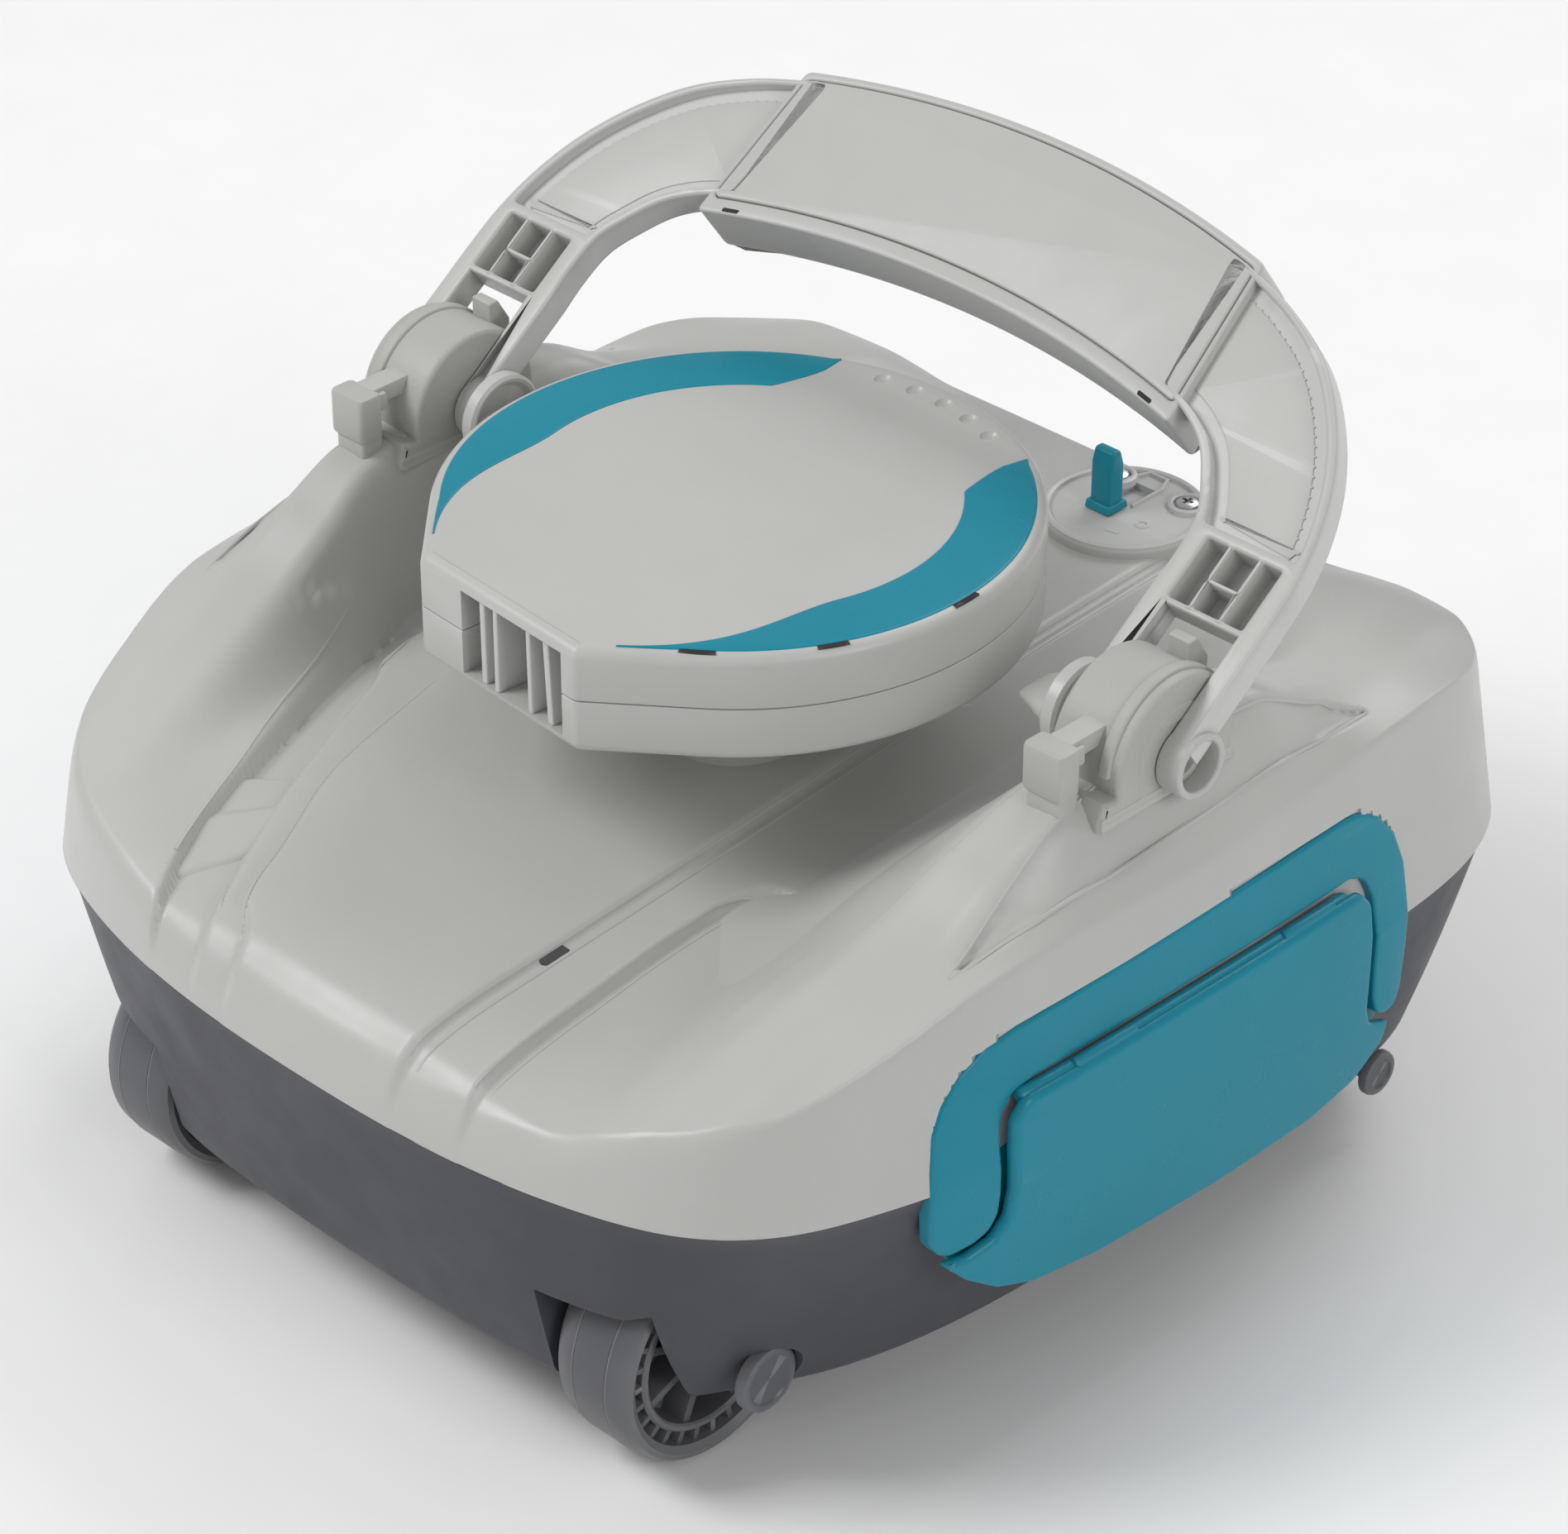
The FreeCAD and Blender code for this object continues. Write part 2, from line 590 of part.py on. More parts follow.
def to_handle_plane(shape):
    """Turns a shape drawn in (x, v, w) into the handle's place at rest."""
    placed = shape.copy()
    turn = FreeCAD.Rotation(X_AXIS, HANDLE_ANGLE)
    placed.Placement = FreeCAD.Placement(V(0, PIVOT_Y, PIVOT_Z), turn)
    return placed


def handle_frame():
    """Two-armed frame with fork cheeks, open bosses and the bar inside the grip."""
    grip_space = band(shrunk(GRIP_TOP, -GAP, GAP), shrunk(GRIP_BOTTOM, -GAP, -GAP), (-30, 30))
    web_w = (ARM_W[1] - WEB_DEPTH, ARM_W[1] + 1)
    web = arm(RIM, web_w).cut(box(CHEEK_IN[0] - 1, CHEEK_OUT[1] + 1, -20, POCKET_TOP_V + RIM, -30, 30))
    side = arm(0, ARM_W).cut([web, grip_space])
    cheeks = [cyl_x(*CHEEK_IN, 0, 0, CHEEK_R), cyl_x(CHEEK_OUT[0], BOSS_END_X, 0, 0, CHEEK_R)]
    side = side.multiFuse(cheeks).cut(arm_pocket() + [cyl_x(100, 170, 0, 0, PIN_BORE_R)])
    bar = band(BAR_TOP, BAR_BOTTOM, BAR_W)
    whole = side.multiFuse([mirrored(side), bar]).removeSplitter()
    return to_handle_plane(whole)


def grip_shell():
    """Hollow float grip with open front, slotted ends and a ledge for the panel."""
    outer = band(GRIP_TOP, GRIP_BOTTOM, GRIP_W)
    long_edges = [e for e in outer.Edges if e.Length > 150 and e.BoundBox.ZMax < GRIP_W[0] + 1]
    outer = outer.makeFillet(5, long_edges)
    t = GRIP_WALL
    hollow = band(shrunk(GRIP_TOP, t, -t - 4), shrunk(GRIP_BOTTOM, t + 3, t + 6), (GRIP_W[0] + t, 20))
    ledge = band(shrunk(PANEL_TOP, -GAP, GAP), shrunk(PANEL_BOTTOM, -GAP, -GAP), (PANEL_W[0] - 0.1, 20))
    slot = band(shrunk(BAR_TOP, 0, GAP), shrunk(BAR_BOTTOM, 0, -GAP), (BAR_W[0] - GAP, BAR_W[1] + GAP))
    return to_handle_plane(outer.cut([hollow, ledge, slot]))


def grip_cover():
    """Panel let into the front of the grip."""
    panel = band(PANEL_TOP, PANEL_BOTTOM, PANEL_W)
    rim = [e for e in panel.Edges if e.BoundBox.ZMin > PANEL_W[1] - 0.1]
    return to_handle_plane(panel.makeFillet(0.8, rim))


def handle_bracket():
    """Right domed hub on the ridge, bored for the pivot pin and slotted for the lock bar."""
    dome = cyl_x(*HUB_X, PIVOT_Y, PIVOT_Z, HUB_R)
    skirt = box(*HUB_X, PIVOT_Y - HUB_R - 6, PIVOT_Y + HUB_R, SEAT_Z + 0.1, PIVOT_Z - 2)
    body = dome.fuse(skirt).common(box(*HUB_X, -50, 50, SEAT_Z + 0.1, 220))
    bar_x = (BAR_X[0] - GAP, BAR_X[1] + GAP)
    channel = box(*bar_x, -50, 50, LOCK_BAR_Z[0] - GAP, LOCK_BAR_Z[1] + GAP)
    tongue_way = box(*bar_x, TONGUE_Y[0] - LOCK_TRAVEL - GAP, 50, LOCK_BAR_Z[0] - GAP, 220)
    bore = cyl_x(HUB_X[0] - 1, HUB_X[1] + 1, PIVOT_Y, PIVOT_Z, PIN_R + 0.02)
    return body.cut([channel, tongue_way, bore]).removeSplitter()


def handle_lock():
    """Right lock slide: thumb tab, bar through the hub and tongue behind it."""
    tab = box(*TAB_X, *TAB_Y, *TAB_Z)
    tab = tab.makeFillet(1.6, tab.Edges)
    bar = box(*BAR_X, TAB_Y[1] - 2, TONGUE_Y[1], *LOCK_BAR_Z)
    tongue = box(*BAR_X, *TONGUE_Y, LOCK_BAR_Z[0], TONGUE_TOP_Z)
    wedge = prism_x([(TONGUE_Y[0] - 1, TONGUE_TOP_Z + 1), (TONGUE_Y[1] + 1, TONGUE_TOP_Z + 1),
                     (TONGUE_Y[1] + 1, TONGUE_TOP_Z - 8)], *BAR_X)
    return fused([tab, bar, tongue]).cut(wedge)


def pivot_pins():
    """Hollow hinge pins of both arms."""
    tube = cyl_x(*PIN_X, PIVOT_Y, PIVOT_Z, PIN_R).cut(cyl_x(100, 160, PIVOT_Y, PIVOT_Z, PIN_HOLLOW_R))
    return both_sides(tube)


def pivot_knob():
    """Right clamp knob: rimmed disc, thumb wing and the stub that turns in the pin."""
    disc = cyl_x(*KNOB_X, PIVOT_Y, PIVOT_Z, KNOB_R)
    dish = cyl_x(KNOB_X[0] - 1, KNOB_X[0] + 1.6, PIVOT_Y, PIVOT_Z, KNOB_R - 1.8)
    stub = cyl_x(KNOB_X[1] - 1, STUB_END_X, PIVOT_Y, PIVOT_Z, STUB_R)
    half_y, half_z = WING_HALF
    wing = box(WING_END_X, KNOB_X[0] + 2, PIVOT_Y - half_y, PIVOT_Y + half_y, PIVOT_Z - half_z,
               PIVOT_Z + half_z)
    wing = wing.makeFillet(2, [e for e in wing.Edges if e.BoundBox.XMax < KNOB_X[0]])
    return fused([disc.cut(dish), stub, wing])


# ---------------------------------------------------------------- outlet drum

def drum_outline(inset):
    """Drum outline about its own axis, nozzle towards -Y, drawn in by inset."""
    r = DRUM_R - inset
    px = NOZZLE_HALF - inset
    py = -(NOZZLE_FRONT - inset)
    reach = math.hypot(px, py)
    angle = math.atan2(px, -py) + math.acos(r / reach)
    tx = r * math.sin(angle)
    ty = -r * math.cos(angle)
    return (px, py), (tx, ty), r


def drum_prism(inset, z0, z1):
    """Solid drum outline between two heights, about its own axis."""
    (px, py), (tx, ty), r = drum_outline(inset)
    edges = [line_edge((-px, py), (px, py), z0), line_edge((px, py), (tx, ty), z0),
             arc_edge(((tx, ty), (0, r), (-tx, ty)), z0), line_edge((-tx, ty), (-px, py), z0)]
    return Part.Face(Part.Wire(edges)).extrude(V(0, 0, z1 - z0))


def to_drum(shape):
    """Moves a shape drawn about the drum's axis into its place at rest."""
    placed = shape.copy()
    placed.Placement = FreeCAD.Placement(V(0, DRUM_Y, 0), FreeCAD.Rotation(Z_AXIS, DRUM_YAW))
    return placed


def drum_mouth(grow):
    """Outlet mouth through the right-hand part of the drum's flat front."""
    return box(MOUTH_X[0] - grow, MOUTH_X[1] + grow, -NOZZLE_FRONT - 5, -NOZZLE_FRONT + VANE_DEPTH,
               MOUTH_Z[0] - grow, MOUTH_Z[1] + grow)


def turret_lower():
    """Lower half of the drum with its bearing spigot."""
    z0, z1, _ = DRUM_Z
    outer = drum_prism(0, z0, z1 - 0.15)
    low = [e for e in outer.Edges if e.BoundBox.ZMax < z0 + 0.1]
    outer = outer.makeFillet(2, low)
    inner = drum_prism(DRUM_WALL, z0 + DRUM_WALL, z1 + 1)
    spigot = cyl_z(RETAINER_Z[1], z0 + 1, 0, 0, SPIGOT_R[1])
    well = cyl_z(RETAINER_Z[1] - 1, z1, 0, 0, SPIGOT_R[0])
    body = outer.cut(inner).fuse(spigot).cut([well, drum_mouth(0)])
    return to_drum(body.removeSplitter())


def turret_retainer():
    """Ring under the spigot that keeps the drum in its bearing."""
    ring = cyl_z(*RETAINER_Z, 0, 0, RETAINER_R).cut(cyl_z(*RETAINER_Z, 0, 0, SPIGOT_R[0]))
    return to_drum(ring)


def upper_block():
    """Outer form of the drum's upper half with its rounded top edge."""
    _, z1, z2 = DRUM_Z
    block = drum_prism(0, z1 + 0.15, z2)
    top = [e for e in block.Edges if e.BoundBox.ZMin > z2 - 0.1]
    return block.makeFillet(DRUM_EDGE_R, top)


def crescent_radius(angle):
    """Inner edge radius of a crescent at an angle from the nozzle, in degrees."""
    tangent = math.degrees(math.atan2(NOZZLE_HALF, NOZZLE_FRONT)
                           + math.acos(DRUM_R / math.hypot(NOZZLE_HALF, NOZZLE_FRONT)))
    out = DRUM_R / math.cos(math.radians(max(0, tangent - angle))) + 1
    rise = min(1, (angle - CRESCENT_TIP) / CRESCENT_RAMP)
    fall = min(1, (CRESCENT_END - angle) / CRESCENT_CLOSE)
    depth = (1 - math.cos(math.pi * max(0, rise))) / 2 * math.sqrt(max(0, fall))
    return out - (out - CRESCENT_R) * depth


def crescent_prism(gap):
    """Region of the right-hand crescent, grown by gap."""
    steps = 40
    inner = []
    outer = []
    for i in range(steps + 1):
        angle = CRESCENT_TIP + (CRESCENT_END - CRESCENT_TIP) * i / steps
        a = math.radians(angle)
        r = crescent_radius(angle) - gap
        inner.append((r * math.sin(a), -r * math.cos(a)))
        outer.append(((DRUM_R + 12) * math.sin(a), -(DRUM_R + 12) * math.cos(a)))
    return prism_z(inner + outer[::-1], DRUM_Z[2] - CRESCENT_T - gap, DRUM_Z[2] + 1)


def turret_upper():
    """Upper half of the drum with seats for the crescents and five dimples."""
    _, z1, z2 = DRUM_Z
    inner = drum_prism(DRUM_WALL, z1 - 1, z2 - DRUM_WALL - CRESCENT_T)
    seat = crescent_prism(CRESCENT_GAP)
    dimples = []
    for i in range(-2, 3):
        a = math.radians(i * DIMPLE_STEP)
        x = DIMPLE_R * math.sin(a)
        y = DIMPLE_R * math.cos(a)
        dimples.append(Part.makeSphere(DIMPLE_HOLE_R, V(x, y, z2 + 0.4)))
    body = upper_block().cut([inner, seat, mirrored(seat), drum_mouth(0)] + dimples)
    return to_drum(body)


def turret_insert(side):
    """Crescent cover on one side of the drum's top."""
    region = crescent_prism(0)
    if side < 0:
        region = mirrored(region)
    return to_drum(upper_block().common(region))


def nozzle_vanes():
    """Comb of upright guide vanes in the outlet mouth."""
    z0, z1 = MOUTH_Z
    y0 = -NOZZLE_FRONT + 1
    y1 = -NOZZLE_FRONT + VANE_DEPTH - 2
    base = box(MOUTH_X[0] + GAP, MOUTH_X[1] - GAP, y1 - 6, y1, z0 + 0.1, z0 + 1.6)
    vanes = [box(x - VANE_T / 2, x + VANE_T / 2, y0, y1, z0 + 0.1, z1 - 0.2) for x in VANE_X]
    return to_drum(fused([base] + vanes))


def turret_ring():
    """Neck on the deck with the drum's bearing bore, and the hood that joins it to the pump."""
    z0, z1 = RING_Z
    hood_in, hood_out, roof, top = RING_HOOD
    tube = cyl_z(roof, z1, 0, DRUM_Y, RING_R[1])
    hood = cyl_z(z0, top, 0, DRUM_Y, hood_out)
    flange = cyl_z(z0, RING_FLANGE[1], 0, DRUM_Y, RING_FLANGE[0])
    bore = cyl_z(RING_STEP_Z - 1, z1 + 1, 0, DRUM_Y, RING_R[0])
    lower = cyl_z(z0 - 1, RING_STEP_Z, 0, DRUM_Y, RING_LOWER_R)
    inside = cyl_z(z0 - 1, roof, 0, DRUM_Y, hood_in)
    return tube.fuse([hood, flange]).cut([bore, lower, inside]).removeSplitter()


# ---------------------------------------------------------------- switch

def switch_cover():
    """Round raised pad with the lever's slot."""
    x, y = PAD_CENTRE
    disc = cyl_z(PAD_Z[0], PAD_Z[2], x, y, PAD_R)
    disc = disc.makeFillet(1.6, [e for e in disc.Edges if e.BoundBox.ZMin > PAD_Z[2] - 0.1])
    neck = cyl_z(PAD_NECK_Z, PAD_Z[0] + 1, x, y, PAD_NECK_R[1])
    hollow = cyl_z(PAD_NECK_Z - 1, PAD_Z[1], x, y, PAD_NECK_R[0])
    slot = box(LEVER_X[0] - GAP, LEVER_X[1] + GAP, LEVER_Y[0] - SLOT_END, LEVER_Y[1] + LEVER_TRAVEL + SLOT_END,
               PAD_Z[0] - 1.5, PAD_Z[2] + 1)
    cups = [cyl_z(PAD_Z[2] - 1.4, PAD_Z[2] + 2, sx, sy, 3.8) for sx, sy in deck_screw_places()]
    return disc.fuse(neck).cut([hollow, slot] + cups).removeSplitter()


def deck_screw_places():
    """Centres of the screws in the switch pad."""
    x, y = PAD_CENTRE
    return [(x + 12.0, y + 14.0), (x - 14.0, y + 12.5)]


def deck_screws():
    """Pan-head screws of the switch pad, one group."""
    screws = []
    seat = PAD_Z[2] - 1.4
    for x, y in deck_screw_places():
        head = cyl_z(seat, seat + 1.9, x, y, 3.0)
        cross = [box(x - 1.8, x + 1.8, y - 0.4, y + 0.4, seat + 1, seat + 3),
                 box(x - 0.4, x + 0.4, y - 1.8, y + 1.8, seat + 1, seat + 3)]
        screws.append(head.cut(cross))
    return Part.makeCompound(screws)


def switch_lever():
    """Slide lever with its foot under the pad."""
    blade = box(*LEVER_X, *LEVER_Y, *LEVER_Z)
    blade = blade.makeFillet(1.2, [e for e in blade.Edges if e.BoundBox.ZMax > LEVER_FOOT_Z + 2])
    wide, long = LEVER_FOOT_SPREAD
    foot = box(LEVER_X[0] - wide, LEVER_X[1] + wide, LEVER_Y[0] - long, LEVER_Y[1] + long,
               LEVER_Z[0], LEVER_FOOT_Z)
    return fused([blade, foot])


# ---------------------------------------------------------------- wheels

def wheel(spec, axle, ribs):
    """Right-hand wheel with a crowned tread, recessed sides and radial ribs."""
    x, y, r, half = spec
    profile = [(-half, r - 4), (-half + 3, r - 0.8), (0, r), (half - 3, r - 0.8), (half, r - 4),
               (half, r * 0.78), (2.5, r * 0.74), (2.5, 9), (half, 8), (-half, 8), (-2.5, 9),
               (-2.5, r * 0.74), (-half, r * 0.78)]
    points = [V(x + a, y, r + b) for a, b in profile]
    face = Part.Face(Part.makePolygon(points + points[:1]))
    body = face.revolve(V(x, y, r), X_AXIS, 360)
    hub = cyl_x(x - half, x + half, y, r, 8.5)
    spokes = []
    for i in range(ribs):
        rib = box(x - half + 2, x + half - 2, y - 0.9, y + 0.9, r + 8, r * 1.77)
        rib.rotate(V(x, y, r), X_AXIS, 360.0 * i / ribs)
        spokes.append(rib)
    return fused([body, hub] + spokes).cut(cyl_x(x - half - 1, x + half + 1, y, r, axle[3] + AXLE_CLEARANCE))


def axle_pins():
    """All four axles with their round caps, one group."""
    pins = []
    for axle, spec in ((FRONT_AXLE, FRONT_WHEEL), (REAR_AXLE, REAR_WHEEL)):
        x0, cap, end, r, cap_r = axle
        y = spec[1]
        z = spec[2]
        head = cyl_x(cap, end, y, z, cap_r)
        head = head.makeFillet(1.2, [e for e in head.Edges if e.BoundBox.XMin > end - 0.1])
        pin = head.fuse(cyl_x(x0, cap + 1, y, z, r)).removeSplitter()
        pins += [pin, mirrored(pin)]
    return Part.makeCompound(pins)


# ---------------------------------------------------------------- pump and electrics

def pump_duct():
    """Bell round the impeller with the arms that carry the motor can."""
    z0, z1 = DUCT_Z
    tube = cyl_z(z0, z1, 0, DRUM_Y, DUCT_R[1]).cut(cyl_z(z0, z1, 0, DRUM_Y, DUCT_R[0]))
    arms = []
    for i in range(3):
        one = box(CAN_R[1] + GAP, DUCT_R[1], DRUM_Y - 1.5, DRUM_Y + 1.5, CAN_Z[1] - 8, z0 + 2)
        one.rotate(V(0, DRUM_Y, 0), Z_AXIS, 120 * i)
        arms.append(one)
    return fused([tube] + arms)


def impeller():
    """Axial impeller: hub and five pitched blades."""
    z0, z1 = IMPELLER_Z
    hub = cyl_z(z0, z1, 0, DRUM_Y, 8)
    blades = []
    for i in range(5):
        blade = box(6, IMPELLER_R - 0.5, -0.8, 0.8, -5.5, 5.5)
        blade.rotate(V(0, 0, 0), X_AXIS, 48)
        blade.translate(V(0, DRUM_Y, (z0 + z1) / 2))
        blade.rotate(V(0, DRUM_Y, 0), Z_AXIS, 72 * i)
        blades.append(blade)
    return fused([hub] + blades).cut(cyl_z(z0 - 1, z1 - 3, 0, DRUM_Y, SHAFT_R))


def motor_shaft():
    """Shaft from the motor to the impeller."""
    return cyl_z(MOTOR_Z[0] + 4, IMPELLER_Z[1] - 3, 0, DRUM_Y, SHAFT_R)


def motor():
    """Motor body with the bore for its shaft."""
    bore = cyl_z(MOTOR_Z[0] + 2, MOTOR_Z[1] + 1, 0, DRUM_Y, SHAFT_R + 0.08)
    return cyl_z(*MOTOR_Z, 0, DRUM_Y, MOTOR_R).cut(bore)


def motor_housing():
    """Sealed can round the motor."""
    outer = cyl_z(*CAN_Z, 0, DRUM_Y, CAN_R[1])
    inner = cyl_z(CAN_Z[0] + 2, CAN_Z[1] - 3, 0, DRUM_Y, CAN_R[0])
    seat = cyl_z(CAN_Z[1] - 4, CAN_Z[1] + 1, 0, DRUM_Y, SEAL_R + 0.05)
    return outer.cut([inner, seat])


def shaft_seal():
    """Lip seal between shaft and can."""
    return cyl_z(CAN_Z[1] - 3, CAN_Z[1], 0, DRUM_Y, SEAL_R).cut(
        cyl_z(CAN_Z[1] - 4, CAN_Z[1] + 1, 0, DRUM_Y, SHAFT_R + 0.06))


def battery_pack():
    """Sealed battery pack with rounded edges."""
    block = box(*BATTERY)
    return block.makeFillet(5, block.Edges)


def control_board():
    """Circuit board with its larger parts."""
    x0, x1, y0, y1, z0, z1 = BOARD
    chips = [box(x0 + 6, x0 + 20, y0 + 6, y0 + 18, z1, z1 + 4), cyl_z(z1, z1 + 11, x1 - 12, y0 + 14, 5),
             box(x1 - 24, x1 - 8, y1 - 14, y1 - 5, z1, z1 + 6)]
    return fused([box(*BOARD)] + chips)


def main():
    """Builds and writes every piece."""
    os.makedirs("parts", exist_ok=True)
    write("upper_shell", upper_shell())
    write("base_tray", base_tray())
    write("suction_plate", suction_plate())
    write("base_screws", base_screws())
    write("inlet_flap", inlet_flap())
    write("inlet_hinge", inlet_hinge())
    write("filter_frame", filter_frame())
    write("filter_screen", filter_screen())
    write("latch_pins", latch_pins())
    write("handle_frame", handle_frame())
    write("grip_shell", grip_shell())
    write("grip_cover", grip_cover())
    write("pivot_pins", pivot_pins())
    write("turret_lower", turret_lower())
    write("turret_upper", turret_upper())
    write("turret_retainer", turret_retainer())
    write("turret_ring", turret_ring())
    write("nozzle_vanes", nozzle_vanes())
    write("switch_cover", switch_cover())
    write("switch_lever", switch_lever())
    write("deck_screws", deck_screws())
    write("axle_pins", axle_pins())
    write("pump_duct", pump_duct())
    write("impeller", impeller())
    write("motor_shaft", motor_shaft())
    write("motor", motor())
    write("motor_housing", motor_housing())
    write("shaft_seal", shaft_seal())
    write("battery_pack", battery_pack())
    write("control_board", control_board())
    handed = {"side_frame": side_frame(), "side_latch": side_latch(), "handle_bracket": handle_bracket(),
              "handle_lock": handle_lock(), "pivot_knob": pivot_knob(),
              "front_wheel": wheel(FRONT_WHEEL, FRONT_AXLE, 8),
              "rear_wheel": wheel(REAR_WHEEL, REAR_AXLE, 6)}
    for name, shape in handed.items():
        write(name + "_right", shape)
        write(name + "_left", mirrored(shape))
    write("turret_insert_right", turret_insert(1))
    write("turret_insert_left", turret_insert(-1))


main()
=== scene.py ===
"""Looks of a cordless pool cleaner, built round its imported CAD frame.

Shapes are drawn in millimetres and turned into metres when a mesh is made.
X is lateral, -Y is the front, +Z is up, and "right" means +X.
"""
import json
import math
import bmesh
import bpy
import numpy as np
from mathutils import Matrix, Vector
from mathutils.geometry import tessellate_polygon


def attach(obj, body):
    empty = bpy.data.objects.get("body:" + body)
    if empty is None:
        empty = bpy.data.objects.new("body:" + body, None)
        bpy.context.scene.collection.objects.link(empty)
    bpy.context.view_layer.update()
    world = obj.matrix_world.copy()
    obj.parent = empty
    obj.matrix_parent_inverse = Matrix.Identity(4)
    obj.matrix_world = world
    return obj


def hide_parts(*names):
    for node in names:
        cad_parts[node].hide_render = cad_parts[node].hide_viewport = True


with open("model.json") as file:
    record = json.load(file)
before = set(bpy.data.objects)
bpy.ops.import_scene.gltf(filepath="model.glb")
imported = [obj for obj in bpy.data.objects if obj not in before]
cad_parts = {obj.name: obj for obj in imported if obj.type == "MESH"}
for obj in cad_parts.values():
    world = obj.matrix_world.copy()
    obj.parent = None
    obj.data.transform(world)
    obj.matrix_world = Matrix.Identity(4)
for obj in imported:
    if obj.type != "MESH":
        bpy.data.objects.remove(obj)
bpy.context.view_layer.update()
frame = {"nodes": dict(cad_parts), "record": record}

MM = 0.001
SHARP = 32.0

# Body plan outlines, right half from front to rear (x, y), and wall heights
SEAM_PLAN = [(0, -172.4), (50, -170.4), (98, -161), (126, -148), (143, -128.5), (151, -110),
             (157.4, -89), (162.2, -40), (163.6, 20), (162.6, 92), (157, 128), (145, 150),
             (122, 165), (74, 171.4), (0, 172.4)]
FLOOR_PLAN = [(0, -155.5), (45, -154.5), (82, -150), (103, -140), (114, -124), (124, -106),
              (133, -80), (139, -40), (141, 20), (141, 88), (139, 116), (128, 138),
              (108, 150), (66, 156), (0, 157)]
SEAM_Z = 97.0
SEAM_GAP = 0.5
WALL_SLOPE = 53.0 / 8.0
FLOOR_Z = 25.0
LEG_Z = 12.0
WALL = 3.0

# Pivots, drum and pad
PIVOT_Y, PIVOT_Z = 8.5, 179.0
HANDLE_ANGLE = math.radians(35.8)
DRUM_Y = -6.0
DRUM_YAW = math.radians(-4.2)
DRUM_R = 84.0
NOZZLE_HALF, NOZZLE_FRONT = 32.0, 84.5
DECK_HOLE_R = 21.2
KNOB_SCOOP_R, PIN_SCOOP_R = 14.7, 11.4
DRUM_LOW, DRUM_SPLIT, DRUM_TOP, DRUM_SEAM = 172.0, 188.0, 204.0, 0.15
PAD_LOW, PAD_TOP = 134.0, 143.4
PAD_X, PAD_Y, PAD_R = 13.0, 141.0, 24.5


# ---------------------------------------------------------------- small maths

def step(t):
    """Smooth rise from 0 to 1 as t goes from 0 to 1."""
    t = np.clip(t, 0, 1)
    return t * t * (3 - 2 * t)


def soft_min(a, b, k):
    """Smaller of two heights, with the meeting line rounded over k."""
    h = np.clip(0.5 + 0.5 * (b - a) / k, 0, 1)
    return b + (a - b) * h - k * h * (1 - h)


def soft_max(a, b, k):
    """Larger of two heights, with the meeting line rounded over k."""
    return -soft_min(-a, -b, k)


def through(x, table):
    """Smooth curve through (x, value) pairs that never overshoots them."""
    xs = np.array([p[0] for p in table], float)
    vs = np.array([p[1] for p in table], float)
    h = np.diff(xs)
    d = np.diff(vs) / h
    m = np.zeros(len(xs))
    same = d[:-1] * d[1:] > 0
    with np.errstate(divide="ignore", invalid="ignore"):
        m[1:-1] = np.where(same, 2 * d[:-1] * d[1:] / (d[:-1] + d[1:]), 0)
    m[0], m[-1] = d[0], d[-1]
    x = np.clip(x, xs[0], xs[-1])
    i = np.clip(np.searchsorted(xs, x, side="right") - 1, 0, len(h) - 1)
    t = (x - xs[i]) / h[i]
    a = (1 + 2 * t) * (1 - t) ** 2 * vs[i] + t * t * (3 - 2 * t) * vs[i + 1]
    return a + h[i] * (t * (1 - t) ** 2 * m[i] + t * t * (t - 1) * m[i + 1])


def closed_curve(points, count):
    """Evenly spaced points on the smooth closed curve through some points."""
    p = np.array(points, float)
    n = len(p)
    ahead = np.roll(p, -1, 0) - p
    h = np.linalg.norm(ahead, axis=1)
    a = np.zeros((n, n))
    for i in range(n):
        a[i, i - 1] = h[i - 1]
        a[i, i] = 2 * (h[i - 1] + h[i])
        a[i, (i + 1) % n] = h[i]
    slope = ahead / h[:, None]
    bend = np.linalg.solve(a, 6 * (slope - np.roll(slope, 1, 0)))
    t = np.linspace(0, 1, 60, endpoint=False)[None, :, None]
    b0, b1 = bend[:, None], np.roll(bend, -1, 0)[:, None]
    hh = h[:, None, None]
    lift = ((1 - t) ** 3 - (1 - t)) * b0 + (t ** 3 - t) * b1
    fine = (1 - t) * p[:, None] + t * np.roll(p, -1, 0)[:, None] + hh ** 2 / 6 * lift
    return spaced(fine.reshape(-1, 2), count)


def lengths(points):
    """Distance along a run at each of its points."""
    return np.concatenate([[0], np.cumsum(np.linalg.norm(np.diff(points, axis=0), axis=1))])


def turns_left(points):
    """Whether a closed run goes anticlockwise."""
    p = np.array(points, float)
    return (p[:, 0] * np.roll(p[:, 1], -1) - np.roll(p[:, 0], -1) * p[:, 1]).sum() > 0


def spaced(points, count):
    """A closed run of points, evenly spaced along its length."""
    p = np.vstack([points, points[:1]])
    run = lengths(p)
    at = np.linspace(0, run[-1], count, endpoint=False)
    return np.stack([np.interp(at, run, p[:, i]) for i in (0, 1)], 1)


def both_halves(plan):
    """Whole outline from its right half."""
    return plan + [(-x, y) for x, y in plan[-2:0:-1]]


def plan_curve(plan, count):
    """Smooth closed outline through a right-half plan."""
    return closed_curve(both_halves(plan), count)


